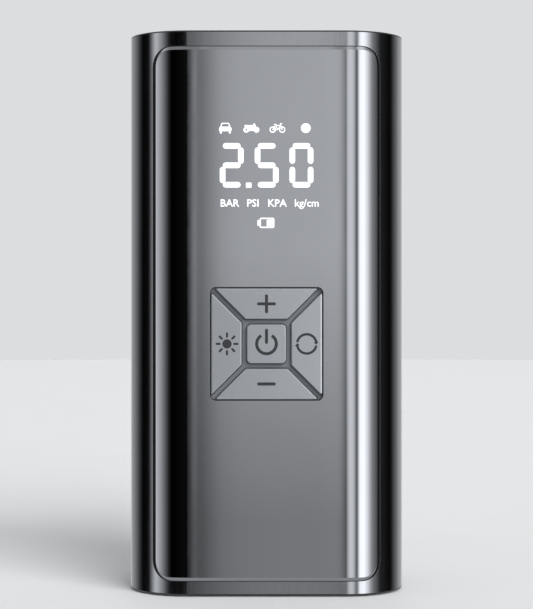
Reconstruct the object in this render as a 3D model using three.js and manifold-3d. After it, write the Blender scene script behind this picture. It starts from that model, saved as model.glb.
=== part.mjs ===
// A portable tire inflator: an upright handheld case with a glossy front panel, a square of five keys,
// a three-cell battery in its lower half and a geared piston compressor in its upper half.
// Millimetres. X is the width, the front faces -Y, Z is up, and the origin is the middle of the footprint.

import * as THREE from 'three';
import { mergeVertices } from 'three/addons/utils/BufferGeometryUtils.js';
import Module from 'manifold-3d';

const wasm = await Module();
wasm.setup();

// ---------------------------------------------------------------- driving dimensions

// Case
const WIDTH = 74;
const DEPTH = 46;
const HEIGHT = 150;
const CORNER = 16; // radius of the upright corners
const WALL = 3;
const RIM = 1; // height of each end cap's edge that shows past the shell
const RIM_BEVEL = 0.5;
const CAP_PLATE = 2.6;
const CAP_SKIRT = 6; // how far an end cap reaches into the shell
const CAP_SKIRT_WALL = 1.6;
const FIT = 0.3; // clearance of a piece that drops into another
const SNUG = 0.15; // radial clearance of a pressed or running fit
const SEAT = 0.1; // clearance of clamped faces

// Front panel
const PANEL_SIDE_MARGIN = 7.1; // from the case's sides to the panel
const PANEL_END_MARGIN = 4.6; // from the case's ends to the panel
const PANEL_CORNER = 5;
const PANEL_THICKNESS = 1.5;
const PANEL_GLUE = 0.2;
const PANEL_EDGE_RISE = 1.5; // height of the slanted edge at the top and bottom of the panel
const PANEL_EDGE_DEPTH = 0.8;
const PANEL_SIDE_EDGE = 0.5;
const SEAM = 0.5; // gap round the panel
const LEDGE = 3; // width of the shell's ledge that carries the panel

// Keys
const KEY_DROP = 8; // middle of the key square below the middle of the panel
const KEY_HALF = 14.75; // half the key square
const KEY_SQUARE_ROUND = 1.3; // corners of the key square
const KEY_RING = 6.6; // half the square inside the four outer keys
const POWER_HALF = 5.15;
const CHANNEL = 1.5; // width between two keys
const KEY_ROUND = 0.9;
const KEY_PROUD = 0; // how far the keys stand out of the panel
const KEY_EDGE = 0.15;
const KEY_TRAVEL = 0.5;
const KEY_FLANGE = 0.6; // how far a key's flange reaches behind the web
const KEY_FLANGE_THICKNESS = 0.8;
const KEY_STEM_INSET = 1; // how far a key's stem lies inside its outline
const WEB_RECESS = 0.5; // how far the web between the keys lies below the panel
const WEB_PLATE = 1;
const WEB_MARGIN = 3;
const SWITCH_SIZE = 6;
const SWITCH_PLUNGER = 1.7;

// Boards
const BOARD = 1.6; // thickness of the main board
const THIN_BOARD = 1.2; // thickness of the small boards
const BOARD_ROUND = 1;
const BOARD_SIDE_GAP = 0.9; // between the main board and the shell's window
const BOARD_TAIL = 17; // how far the main board reaches below the middle of the keys
const BOARD_MARGIN = 1; // how far it reaches past the display
const SWITCH_BODY = 1.2;
const SWITCH_STROKE = 0.3;
const DISPLAY_WIDTH = 38;
const DISPLAY_HEIGHT = 35;
const DISPLAY_DROP = 15.4; // from the panel's top edge to the display
const CHIP = 10; // side of a chip
const CHIP_HEIGHT = 1.4;
const CHIP_X = 13;
const PROTECTION_WIDTH = 34; // of the board behind the battery
const PROTECTION_GAP = 4.3; // between that board and the cell holders
const PROTECTION_CHIP_WIDTH = 24;
const PROTECTION_CHIP_HEIGHT = 6;

// Battery
const CELL_COUNT = 3;
const CELL_GAP = 1.1; // between two cells
const CELL_EDGE = 0.4;
const CELL_BUTTON = 3;
const CELL_BUTTON_HEIGHT = 0.6;
const HOLDER_HEIGHT = 9.5;
const HOLDER_LIP = 1;
const HOLDER_RIM = 2; // wall round a cell
const HOLDER_ROOM = 1.1; // between a holder and the bottom cap
const HOLDER_SEAT = 2; // width of the lip that a cell's end rests on
const HOLDER_ARM = 8;
const HOLDER_BOSS = 3; // half the block that takes a case screw
const HOLDER_BACK_GAP = 3; // between a screw's block and the shell
const STRAP = 0.3;
const STRAP_WIDTH = 8;
const STRAP_ROUND = 1;

// Motor and gears
const PUMP_Y = 3; // depth of the motor, crank and cylinder axes
const MOTOR_RADIUS = 12.2;
const MOTOR_CAN = 26;
const MOTOR_BELL = 4.7;
const MOTOR_WALL = 1;
const MOTOR_EDGE = 0.6;
const MOTOR_BOSS = 3.3; // the round seat that centres the motor in the pump frame
const MOTOR_BOSS_HEIGHT = 1.5;
const BELL_PLATE = 1.5;
const BELL_EDGE = 1.4;
const BELL_BORE = 5;
const MAGNET = 1.8;
const MAGNET_ARC = THREE.MathUtils.degToRad(124);
const MAGNET_MARGIN = 1; // how far a magnet reaches past the armature
const AIR_GAP = 0.5;
const POLE_COUNT = 3;
const POLE_ARC = THREE.MathUtils.degToRad(100);
const POLE_SHOE = 1.8;
const POLE_STEM = 2.8;
const POLE_HUB = 3.4;
const COIL_ROOM = 3; // between the armature and the motor's face
const COMMUTATOR_ROOM = 5; // between the armature and the motor's open end
const COMMUTATOR_RADIUS = 3;
const COMMUTATOR_GAP = 0.5; // at each of its ends
const SHAFT_RADIUS = 1.15;
const SHAFT_END = 0.2; // how far the motor's shaft reaches past its pinion
const FRAME_FRONT = 4.5; // left face of the pump frame's plate, which the motor is bolted to
const FRAME_PLATE = 2;
const FRAME_ROUND = 2;
const FRAME_REACH = 11; // how far the plate reaches in front of the pump's axis
const FRAME_DROP = 8; // how far it reaches below the motor's axis
const RIB_DROP = 12; // size of the rib under the shelf's back edge
const RIB_SHORT = 8;
const GEAR_CLEARANCE = 1; // between the large gear and the shelf
const MODULE = 0.5;
const PINION_TEETH = 12;
const GEAR_TEETH = 48;
const PRESSURE_ANGLE = THREE.MathUtils.degToRad(25);
const ADDENDUM = 0.9; // in modules
const DEDENDUM = 1.2; // in modules
const BACKLASH = 0.14;
const GEAR_WIDTH = 4;
const BEARING_RADIUS = 4.5;
const BEARING_WIDTH = 3;
const BEARING_SHOULDER = 0.6;
const BEARING_WALL = 1.5; // wall of the boss round the bearing
const BEARING_LIP = 1;
const CRANK_SHAFT_RADIUS = 2;
const GEAR_HOLE = 2.2; // the two holes that lighten the large gear beside the pin
const GEAR_HOLE_REACH = 8;

// Piston
const CRANK_RADIUS = 4;
const CRANK_PIN_RADIUS = 1.5;
const ROD_LENGTH = 25;
const ROD_THICKNESS = 4;
const ROD_GAP = 0.5; // between the rod and the large gear
const ROD_WAIST = 4; // width of the rod at its upper end
const ROD_FLARE = 6; // width of the rod at its lower end
const ROD_FLUTE = 1; // depth of the flute in each side of the rod
const ROD_FLANGE = 1.2; // width of the rod's edge beside the flute
const BIG_END_RADIUS = 5;
const SMALL_END_RADIUS = 3;
const BUSH_WALL = 1.9;
const BORE_RADIUS = 8;
const PISTON_RADIUS = 7.7;
const PISTON_HALF = 4.5;
const PISTON_WALL = 1.5;
const PISTON_CLEARANCE = 0.5; // between the piston and the head at the top of the stroke
const PIN_INSET = 0.7; // how far the wrist pin's ends lie inside the piston's wall
const RING_LAND = 1.3; // from the piston's crown to its ring
const RING_HEIGHT = 1.7;
const RING_DEPTH = 0.8;
const CYLINDER_WALL = 1.5;
const CYLINDER_FLANGE = 1.6;
const FIN_REACH = 1.5;
const FIN_COUNT = 3;
const FIN_TIP = 1;
const FIN_SLOPE = 0.2;
const GASKET = 0.6;
const HEAD_HEIGHT = 6;
const HEAD_FLOOR = 2; // between the gasket and the valve
const HEAD_PORT = 1.4;
const HEAD_ROOM = 7; // between the cylinder head and the top cap
const VALVE_RADIUS = 3.4;
const VALVE_GAP = 0.6;
const VALVE_THICKNESS = 1;
const VALVE_LIFT = 0.8;
const VALVE_CAP_BRIM = 1.4;
const VALVE_CAP_TOP = 1.2;

// Air outlet, lamp and charging socket, in the top cap
const AIR_RISE = 1.3; // height of the air tube above the valve's seat
const OUTLET_X = -10;
const OUTLET_Y = 0;
const OUTLET_BORE = 3.5;
const OUTLET_BORE_DEPTH = 9;
const OUTLET_FLANGE = 6;
const OUTLET_FLANGE_HEIGHT = 4;
const OUTLET_BODY = 5;
const OUTLET_FLOOR = 0.6; // wall under the outlet's nipple
const OUTLET_PORT_X = 1; // place of the drilling that joins the nipple to the bore
const OUTLET_PORT_Y = -0.5;
const NIPPLE_RADIUS = 1.6;
const NIPPLE_BORE = 0.8;
const NIPPLE_LENGTH = 3.7;
const NIPPLE_ROOT = 3; // how far a nipple reaches into its body
const TUBE_WALL = 1.2;
const LAMP_INSET = 17; // middle of the lamp from the shell's inner face
const LAMP_WIDTH = 16;
const LAMP_DEPTH = 9;
const LAMP_ROUND = 2;
const LAMP_LIP = 1;
const LAMP_BOARD = 1;
const SOCKET_INSET = 8; // middle of the socket from the shell's inner face
const SOCKET_WIDTH = 8.9;
const SOCKET_THICKNESS = 3.3;
const SOCKET_LENGTH = 7.3;
const SOCKET_SHELL = 0.3;
const SOCKET_FLOOR = 1;
const SOCKET_TONGUE = 0.7;
const SOCKET_TONGUE_WIDTH = 6.6;
const SOCKET_TONGUE_DROP = 0.8;
const SOCKET_BOARD_SIDE = 16;

// Vents and fasteners
const VENT_COUNT = 7;
const VENT_PITCH = 4;
const VENT_WIDTH = 26;
const VENT_HEIGHT = 1.6;
const SCREW_SIDE_INSET = 12; // from the shell's inner face to a case screw
const SCREW_BOARD_GAP = 3; // from the main board to the front case screws
const SCREW_HEAD = 2.3;
const SCREW_HEAD_HEIGHT = 1.4;
const SCREW_SINK = 0.2; // how far a case screw's head lies below the bottom cap
const SCREW_SHANK = 1.1;
const SCREW_LENGTH = 9;
const MOTOR_SCREW_OFFSET = 8;
const MOTOR_SCREW_HEAD = 2;
const FOOT_SCREW_GAP = 5; // from a foot's end to the middle of a case screw, across the case
const FOOT_WIDTH = 2.8;
const FOOT_PROUD = 0.4;
const FOOT_DEPTH = 0.8; // how deep a foot is let into the bottom cap
const FOOT_INSET = 6.1; // middle of a foot from the case's face

// Fineness of round shapes, in steps to a full turn
const COARSE = 12;
const FINE = 16;
const FINEST = 24;

const BRIM = 1; // how far a cutting shape runs past what it cuts
const HAIR = 0.01; // keeps the two ends of a fully rounded outline from meeting in one point

// ---------------------------------------------------------------- places worked out from them

const FRONT = -DEPTH / 2;
const CAVITY_WIDTH = WIDTH - 2 * WALL;
const CAVITY_BACK = DEPTH / 2 - WALL;
const PANEL_WIDTH = WIDTH - 2 * PANEL_SIDE_MARGIN;
const PANEL_HEIGHT = HEIGHT - 2 * PANEL_END_MARGIN;
const PANEL_BACK = FRONT + PANEL_THICKNESS;
const PANEL_MIDDLE = HEIGHT / 2;
const BASE = FOOT_PROUD; // underside of the bottom cap
const FLOOR = BASE + CAP_PLATE; // top of the bottom cap's plate
const CEILING = HEIGHT - CAP_PLATE; // underside of the top cap's plate

const KEY_HEIGHT = PANEL_MIDDLE - KEY_DROP;
const WEB_BACK = PANEL_BACK + PANEL_GLUE + WEB_PLATE;
const FLANGE_FRONT = WEB_BACK + FIT;
const KEY_BACK = FLANGE_FRONT + KEY_FLANGE_THICKNESS + FIT;
const PLUNGER_FRONT = KEY_BACK + KEY_TRAVEL + FIT;
const BOARD_FRONT = PLUNGER_FRONT + SWITCH_STROKE + SWITCH_BODY;
const BOARD_BACK = BOARD_FRONT + BOARD;
const SWITCH_REACH = (KEY_HALF + KEY_RING) / 2;
const DISPLAY_HIGH = PANEL_MIDDLE + PANEL_HEIGHT / 2 - DISPLAY_DROP;
const DISPLAY_LOW = DISPLAY_HIGH - DISPLAY_HEIGHT;
const BOARD_WIDTH = PANEL_WIDTH - 2 * (LEDGE + BOARD_SIDE_GAP);
const BOARD_LOW = KEY_HEIGHT - BOARD_TAIL;
const BOARD_HIGH = DISPLAY_HIGH + BOARD_MARGIN;

// The pump hangs from the top cap, the motor lies under it, and the battery fills the rest.
const HEAD_HIGH = CEILING - HEAD_ROOM;
const HEAD_LOW = HEAD_HIGH - HEAD_HEIGHT;
const VALVE_SEAT = HEAD_LOW + HEAD_FLOOR;
const AIR_Z = VALVE_SEAT + AIR_RISE;
const OUTLET_LOW = AIR_Z - NIPPLE_RADIUS - OUTLET_FLOOR;
const CYLINDER_HIGH = HEAD_LOW - GASKET - 2 * SEAT;
const WRIST_Z = CYLINDER_HIGH - PISTON_CLEARANCE - PISTON_HALF; // the piston rests at the top of its stroke
const CRANK_PIN_Z = WRIST_Z - ROD_LENGTH;
const CRANK_Z = CRANK_PIN_Z - CRANK_RADIUS;
const PINION_PITCH = MODULE * PINION_TEETH / 2;
const GEAR_PITCH = MODULE * GEAR_TEETH / 2;
const MOTOR_Z = CRANK_Z - GEAR_PITCH - PINION_PITCH;
const SHELF_LOW = CRANK_Z + GEAR_PITCH + ADDENDUM * MODULE + GEAR_CLEARANCE;
const SHELF_HIGH = SHELF_LOW + FRAME_PLATE;
const CYLINDER_LOW = SHELF_HIGH + SEAT;
const FIN_RADIUS = BORE_RADIUS + CYLINDER_WALL + FIN_REACH;
const RING_HIGH = WRIST_Z + PISTON_HALF - RING_LAND;
const RING_LOW = RING_HIGH - RING_HEIGHT;

const LOWER_STRAP = FLOOR + FIT;
const LOWER_HOLDER = LOWER_STRAP + STRAP + FIT;
const CELL_LOW = LOWER_HOLDER + HOLDER_LIP + FIT;
const UPPER_STRAP = MOTOR_Z - MOTOR_RADIUS - FIT - STRAP;
const UPPER_HOLDER_TOP = UPPER_STRAP - FIT;
const UPPER_HOLDER = UPPER_HOLDER_TOP - HOLDER_HEIGHT;
const CELL_HIGH = UPPER_HOLDER_TOP - HOLDER_LIP - FIT;
const HOLDER_HALF = CAVITY_WIDTH / 2 - 2 * FIT - CAP_SKIRT_WALL - HOLDER_ROOM;
const CELL_PITCH = (2 * (HOLDER_HALF - HOLDER_RIM) + CELL_GAP) / CELL_COUNT;
const CELL_RADIUS = (CELL_PITCH - CELL_GAP) / 2;

const MOTOR_FACE = FRAME_FRONT - FIT;
const MOTOR_BACK = MOTOR_FACE - MOTOR_CAN;
const MAGNET_OUTER = MOTOR_RADIUS - MOTOR_WALL - SNUG;
const MAGNET_INNER = MAGNET_OUTER - MAGNET;
const ROTOR_RADIUS = MAGNET_INNER - AIR_GAP;
const ROTOR_RIGHT = MOTOR_FACE - MOTOR_WALL - COIL_ROOM;
const ROTOR_LEFT = MOTOR_BACK + COMMUTATOR_ROOM;
const BELL_LEFT = MOTOR_BACK - SEAT - MOTOR_BELL;
const BEARING_LEFT = FRAME_FRONT + BEARING_SHOULDER + SEAT;
const BEARING_RIGHT = BEARING_LEFT + BEARING_WIDTH;
const GEAR_LEFT = BEARING_RIGHT + 2 * FIT;
const GEAR_RIGHT = GEAR_LEFT + GEAR_WIDTH;
const ROD_LEFT = GEAR_RIGHT + ROD_GAP;
const ROD_RIGHT = ROD_LEFT + ROD_THICKNESS;
const CYLINDER_X = (ROD_LEFT + ROD_RIGHT) / 2;
const HEAD_LEFT = CYLINDER_X - FIN_RADIUS;

const LAMP_X = CAVITY_WIDTH / 2 - LAMP_INSET;
const SOCKET_X = SOCKET_INSET - CAVITY_WIDTH / 2;
const SCREW_X = CAVITY_WIDTH / 2 - SCREW_SIDE_INSET;
const SCREW_FRONT_Y = BOARD_BACK + SCREW_BOARD_GAP;
const SCREW_BACK_Y = PUMP_Y + CELL_RADIUS + HOLDER_RIM + FIT;
const FOOT_LENGTH = 2 * (SCREW_X - FOOT_SCREW_GAP);
const FOOT_Y = DEPTH / 2 - FOOT_INSET;

// ---------------------------------------------------------------- materials

function material(color, roughness, metalness) {
  return new THREE.MeshStandardMaterial({ color, roughness, metalness });
}

const gunmetal = material(0x6c7074, 0.25, 0.9);
const smokedGlass = material(0x34373a, 0.05, 0.2);
const blackPlastic = material(0x17181a, 0.5, 0);
const keyPlastic = material(0x8f9499, 0.4, 0.3);
const webPlastic = material(0x5e6367, 0.5, 0.2);
const whitePlastic = material(0xe8e8e6, 0.5, 0);
const frostedLens = material(0xdfe4e8, 0.3, 0);
const boardGreen = material(0x1d4a30, 0.5, 0);
const cellWrap = material(0x2f6db0, 0.4, 0);
const nickel = material(0xb9bab5, 0.35, 0.9);
const steel = material(0xa4a7aa, 0.3, 1);
const darkSteel = material(0x55585b, 0.45, 0.9);
const castAluminium = material(0xa9acae, 0.5, 0.8);
const brass = material(0xb9974e, 0.3, 0.9);
const magnetGrey = material(0x3b3b3d, 0.7, 0.1);
const acetal = material(0xe2ddcc, 0.5, 0);
const rubber = material(0x1b1b1c, 0.85, 0);
const silicone = material(0xc9c9c4, 0.6, 0);

// ---------------------------------------------------------------- outlines

function roundedRect(width, height, radius, x = 0, y = 0) {
  const right = x + width / 2;
  const top = y + height / 2;
  const left = x - width / 2;
  const bottom = y - height / 2;
  const shape = new THREE.Shape();
  shape.moveTo(left + radius, bottom);
  shape.lineTo(right - radius, bottom);
  shape.absarc(right - radius, bottom + radius, radius, -Math.PI / 2, 0);
  shape.lineTo(right, top - radius);
  shape.absarc(right - radius, top - radius, radius, 0, Math.PI / 2);
  shape.lineTo(left + radius, top);
  shape.absarc(left + radius, top - radius, radius, Math.PI / 2, Math.PI);
  shape.lineTo(left, bottom + radius);
  shape.absarc(left + radius, bottom + radius, radius, Math.PI, 1.5 * Math.PI);
  return shape;
}

// The same outline with fully rounded ends.
function slotShape(width, height, x = 0, y = 0) {
  return roundedRect(width, height, Math.min(width, height) / 2 - HAIR, x, y);
}

function rect(left, right, bottom, top) {
  return polygon([[left, bottom], [right, bottom], [right, top], [left, top]]);
}

function polygon(points) {
  return new THREE.Shape(points.map(([u, v]) => new THREE.Vector2(u, v)));
}

// The same polygon with every corner rounded by one curve that starts and ends at `round` from the corner.
function roundedPolygon(points, round) {
  const corners = points.map(([u, v]) => new THREE.Vector2(u, v));
  const shape = new THREE.Shape();
  corners.forEach((corner, i) => {
    const before = corners.at(i - 1);
    const after = corners[(i + 1) % corners.length];
    const start = corner.clone().add(before.clone().sub(corner).setLength(round));
    const end = corner.clone().add(after.clone().sub(corner).setLength(round));
    if (i === 0) {
      shape.moveTo(start.x, start.y);
    } else {
      shape.lineTo(start.x, start.y);
    }
    shape.quadraticCurveTo(corner.x, corner.y, end.x, end.y);
  });
  return shape;
}

// A flat sector of a ring between two radii and two angles.
function arcBand(inner, outer, from, to) {
  const shape = new THREE.Shape();
  shape.absarc(0, 0, outer, from, to, false);
  shape.absarc(0, 0, inner, to, from, true);
  return shape;
}

// ---------------------------------------------------------------- solids

// An outline drawn in (y, z), (x, z) or (x, y) and pushed along x, y or z.
const PUSH = {
  x: new THREE.Matrix4().makeBasis(
    new THREE.Vector3(0, 1, 0), new THREE.Vector3(0, 0, 1), new THREE.Vector3(1, 0, 0)),
  y: new THREE.Matrix4().makeBasis(
    new THREE.Vector3(1, 0, 0), new THREE.Vector3(0, 0, 1), new THREE.Vector3(0, -1, 0)),
  z: new THREE.Matrix4(),
};

function solid(geometry) {
  geometry.deleteAttribute('normal');
  geometry.deleteAttribute('uv');
  const merged = mergeVertices(geometry);
  const triVerts = new Uint32Array(merged.index.array);
  const vertProperties = merged.attributes.position.array;
  const made = new wasm.Manifold(new wasm.Mesh({ numProp: 3, vertProperties, triVerts }));
  if (made.volume() > 0) {
    return made;
  }
  for (let i = 0; i < triVerts.length; i += 3) {
    [triVerts[i], triVerts[i + 1]] = [triVerts[i + 1], triVerts[i]];
  }
  return new wasm.Manifold(new wasm.Mesh({ numProp: 3, vertProperties, triVerts }));
}

function extrude(shape, axis, from, to, { segments = 1, bevel = 0 } = {}) {
  const geometry = new THREE.ExtrudeGeometry(shape, {
    depth: to - from - 2 * bevel,
    curveSegments: segments,
    steps: 1,
    bevelEnabled: bevel > 0,
    bevelThickness: bevel,
    bevelSize: bevel,
    bevelOffset: -bevel,
    bevelSegments: 1,
  });
  geometry.translate(0, 0, bevel + (axis === 'y' ? -to : from));
  geometry.applyMatrix4(PUSH[axis]);
  return solid(geometry);
}

// A profile of [radius, height] points turned about x, y or z, which passes through `centre`.
function revolve(profile, axis, centre, segments = FINE) {
  const points = profile.map(([radius, height]) => new THREE.Vector2(radius, height));
  const geometry = new THREE.LatheGeometry(points, segments);
  if (axis === 'x') {
    geometry.rotateZ(-Math.PI / 2);
  }
  if (axis === 'z') {
    geometry.rotateX(Math.PI / 2);
  }
  geometry.translate(...centre);
  return solid(geometry);
}

function rod(radius, axis, centre, from, to, segments = FINE) {
  return revolve([[0, from], [radius, from], [radius, to], [0, to]], axis, centre, segments);
}

function pipe(inner, outer, axis, centre, from, to, segments = FINE) {
  const profile = [[inner, from], [outer, from], [outer, to], [inner, to], [inner, from]];
  return revolve(profile, axis, centre, segments);
}

function box(x0, x1, y0, y1, z0, z1) {
  return extrude(rect(x0, x1, y0, y1), 'z', z0, z1);
}

function join(pieces) {
  return pieces.reduce((whole, piece) => whole.add(piece));
}

function cut(body, tools) {
  return tools.reduce((rest, tool) => rest.subtract(tool), body);
}

const inflator = new THREE.Group();

function piece(name, body, finish) {
  const { numProp, vertProperties, triVerts } = body.getMesh();
  const geometry = new THREE.BufferGeometry();
  geometry.setAttribute('position', new THREE.BufferAttribute(new Float32Array(vertProperties), numProp));
  geometry.setIndex(new THREE.BufferAttribute(new Uint32Array(triVerts), 1));
  geometry.computeVertexNormals();
  const mesh = new THREE.Mesh(geometry, finish);
  mesh.name = name;
  inflator.add(mesh);
}

// The case's cross-section, moved inwards by `inset`, between two heights. Only the outer face is fine.
function caseSection(inset, from, to, bevel = 0) {
  const outline = roundedRect(WIDTH - 2 * inset, DEPTH - 2 * inset, CORNER - inset);
  return extrude(outline, 'z', from, to, { segments: inset === 0 ? 5 : 3, bevel });
}

// The panel's outline, grown by `grow`, pushed from in front of the case to behind the rounded corners.
function panelPrism(grow, back) {
  const width = PANEL_WIDTH + 2 * grow;
  const height = PANEL_HEIGHT + 2 * grow;
  const outline = roundedRect(width, height, PANEL_CORNER + grow, 0, PANEL_MIDDLE);
  return extrude(outline, 'y', FRONT - BRIM, back, { segments: 3 });
}

// How far forward the case's surface, moved inwards by `inset`, lies at a place across the front.
function frontSurface(x, inset) {
  const across = Math.max(Math.abs(x) - (WIDTH / 2 - CORNER), 0);
  const radius = CORNER - inset;
  return FRONT + CORNER - Math.sqrt(radius * radius - across * across);
}

// ---------------------------------------------------------------- case

function mainShell() {
  const panelDepth = PANEL_THICKNESS + PANEL_GLUE;
  const pocketBack = frontSurface(PANEL_WIDTH / 2 + SEAM, panelDepth) + FIT;
  const pocket = panelPrism(SEAM, pocketBack).subtract(caseSection(panelDepth, 0, HEIGHT));
  const window = panelPrism(-LEDGE, frontSurface(PANEL_WIDTH / 2, WALL) + FIT);
  const vents = [];
  for (let i = 0; i < VENT_COUNT; i += 1) {
    const z = MOTOR_Z + (i - (VENT_COUNT - 1) / 2) * VENT_PITCH;
    vents.push(extrude(slotShape(VENT_WIDTH, VENT_HEIGHT, 0, z), 'y', CAVITY_BACK - BRIM, DEPTH / 2 + BRIM));
  }
  const tube = caseSection(0, BASE + RIM, HEIGHT - RIM);
  return cut(tube, [caseSection(WALL, 0, HEIGHT), pocket, window, ...vents]);
}

// Two points of a slanted edge's section, moved apart so that the cut runs past both of its ends.
function pastEnds([u0, v0], [u1, v1]) {
  return [[2 * u0 - u1, 2 * v0 - v1], [2 * u1 - u0, 2 * v1 - v0]];
}

function frontPanel() {
  const sideX = PANEL_WIDTH / 2;
  const back = frontSurface(sideX, PANEL_THICKNESS) + FIT;
  const sheet = caseSection(0, 0, HEIGHT).subtract(caseSection(PANEL_THICKNESS, 0, HEIGHT));
  const cuts = [];
  for (const side of [-1, 1]) {
    const rim = PANEL_MIDDLE + side * PANEL_HEIGHT / 2;
    const [front, deep] = pastEnds([FRONT, rim - side * PANEL_EDGE_RISE], [FRONT + PANEL_EDGE_DEPTH, rim]);
    cuts.push(extrude(polygon([front, deep, [front[0], deep[1]]]), 'x', -sideX, sideX));
    const innerX = side * (sideX - PANEL_SIDE_EDGE);
    const [inner, outer] = pastEnds(
      [innerX, frontSurface(innerX, 0)],
      [side * sideX, frontSurface(sideX, 0) + PANEL_SIDE_EDGE]);
    cuts.push(extrude(polygon([inner, outer, [outer[0], inner[1]]]), 'z', 0, HEIGHT));
  }
  const opening = keySquare(FIT, FRONT - BRIM, PANEL_BACK + BRIM);
  return cut(panelPrism(0, back).intersect(sheet), [...cuts, opening]);
}

// The square that the keys fill, grown by `grow`.
function keySquare(grow, from, to) {
  const side = 2 * (KEY_HALF + grow);
  const outline = roundedRect(side, side, KEY_SQUARE_ROUND + grow, 0, KEY_HEIGHT);
  return extrude(outline, 'y', from, to, { segments: 2 });
}

function capSkirt(from, to) {
  const outside = caseSection(WALL + FIT, from, to);
  return outside.subtract(caseSection(WALL + FIT + CAP_SKIRT_WALL, from - BRIM, to + BRIM));
}

function topCap() {
  const rim = caseSection(0, HEIGHT - RIM - RIM_BEVEL, HEIGHT, RIM_BEVEL)
    .intersect(caseSection(0, HEIGHT - RIM, HEIGHT));
  const plate = caseSection(WALL + FIT, CEILING, HEIGHT - RIM / 2);
  const skirt = capSkirt(CEILING - CAP_SKIRT, HEIGHT - RIM / 2);
  const low = CEILING - BRIM;
  const high = HEIGHT + BRIM;
  return cut(join([rim, plate, skirt]), [
    rod(OUTLET_FLANGE + FIT, 'z', [OUTLET_X, OUTLET_Y, 0], low, high, FINEST),
    extrude(lampShape(FIT), 'z', low, high),
    extrude(slotShape(SOCKET_THICKNESS + 2 * FIT, SOCKET_WIDTH + 2 * FIT, SOCKET_X), 'z', low, high),
  ]);
}

function footShape(grow, side) {
  return slotShape(FOOT_LENGTH + 2 * grow, FOOT_WIDTH + 2 * grow, 0, side * FOOT_Y);
}

function bottomCap() {
  const rim = caseSection(0, BASE, BASE + RIM + RIM_BEVEL, RIM_BEVEL)
    .intersect(caseSection(0, BASE, BASE + RIM));
  const plate = caseSection(WALL + FIT, BASE + RIM / 2, FLOOR);
  const skirt = capSkirt(BASE + RIM / 2, FLOOR + CAP_SKIRT);
  const cuts = [];
  for (const [x, y] of screwPlaces()) {
    cuts.push(rod(SCREW_SHANK + FIT, 'z', [x, y, 0], BASE - BRIM, FLOOR + BRIM, COARSE));
    cuts.push(rod(SCREW_HEAD + FIT, 'z', [x, y, 0], BASE - BRIM, BASE + SCREW_HEAD_HEIGHT + FIT, COARSE));
  }
  for (const side of [-1, 1]) {
    cuts.push(extrude(footShape(SNUG, side), 'z', BASE - BRIM, BASE + FOOT_DEPTH + SEAT));
  }
  return cut(join([rim, plate, skirt]), cuts);
}

function foot(side) {
  return extrude(footShape(0, side), 'z', 0, BASE + FOOT_DEPTH);
}

function screwPlaces() {
  return [-SCREW_X, SCREW_X].flatMap((x) => [SCREW_FRONT_Y, SCREW_BACK_Y].map((y) => [x, y]));
}

function caseScrew(x, y) {
  const low = BASE + SCREW_SINK;
  const head = low + SCREW_HEAD_HEIGHT;
  const profile = [
    [0, low], [SCREW_HEAD, low], [SCREW_HEAD, head],
    [SCREW_SHANK, head], [SCREW_SHANK, head + SCREW_LENGTH], [0, head + SCREW_LENGTH],
  ];
  return revolve(profile, 'z', [x, y, 0], COARSE);
}

// ---------------------------------------------------------------- keys, display and boards

// The four outer keys share one outline, turned by quarter turns about the middle of the key square.
function outerKeyPoints(grow, quarter) {
  const outer = KEY_HALF + grow;
  const inner = KEY_RING - grow;
  const slant = (CHANNEL / 2 - grow) * Math.SQRT2;
  const points = [
    [-(inner - slant), inner], [inner - slant, inner],
    [outer - slant, outer], [-(outer - slant), outer],
  ];
  const turn = quarter * Math.PI / 2;
  const cos = Math.round(Math.cos(turn));
  const sin = Math.round(Math.sin(turn));
  return points.map(([u, v]) => [u * cos - v * sin, KEY_HEIGHT + u * sin + v * cos]);
}

function powerKeyPoints(grow) {
  const half = POWER_HALF + grow;
  return [[-half, -half], [half, -half], [half, half], [-half, half]].map(([u, v]) => [u, KEY_HEIGHT + v]);
}

const KEYS = {
  button_plus: (grow) => outerKeyPoints(grow, 0),
  button_light: (grow) => outerKeyPoints(grow, 1),
  button_minus: (grow) => outerKeyPoints(grow, 2),
  button_mode: (grow) => outerKeyPoints(grow, 3),
  button_power: powerKeyPoints,
};

const SWITCH_PLACES = [
  [0, SWITCH_REACH], [-SWITCH_REACH, 0], [0, -SWITCH_REACH], [SWITCH_REACH, 0], [0, 0],
];

function key(points) {
  const shape = (grow) => roundedPolygon(points(grow), KEY_ROUND);
  const flangeBack = FLANGE_FRONT + KEY_FLANGE_THICKNESS;
  return join([
    extrude(shape(0), 'y', FRONT - KEY_PROUD, FLANGE_FRONT + SEAT, { segments: 2, bevel: KEY_EDGE }),
    extrude(shape(-KEY_STEM_INSET), 'y', FLANGE_FRONT, KEY_BACK),
    extrude(shape(KEY_FLANGE), 'y', FLANGE_FRONT, flangeBack),
  ]);
}

function keyWeb() {
  const plate = keySquare(WEB_MARGIN, PANEL_BACK + PANEL_GLUE, WEB_BACK);
  const ribs = keySquare(0, FRONT + WEB_RECESS, WEB_BACK);
  const windows = Object.values(KEYS).map((points) => extrude(
    roundedPolygon(points(FIT), KEY_ROUND), 'y', FRONT - BRIM, WEB_BACK + BRIM, { segments: 2 }));
  return cut(join([plate, ribs]), windows);
}

function keySwitch([x, up]) {
  const front = BOARD_FRONT - SWITCH_BODY;
  const half = SWITCH_SIZE / 2;
  const z = KEY_HEIGHT + up;
  const body = extrude(rect(x - half, x + half, z - half, z + half), 'y', front, BOARD_FRONT + SEAT);
  const plunger = rod(SWITCH_PLUNGER, 'y', [x, 0, z], PLUNGER_FRONT, front + SEAT, COARSE);
  return body.add(plunger);
}

function boardShape(width, low, high) {
  return roundedRect(width, high - low, BOARD_ROUND, 0, (low + high) / 2);
}

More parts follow.
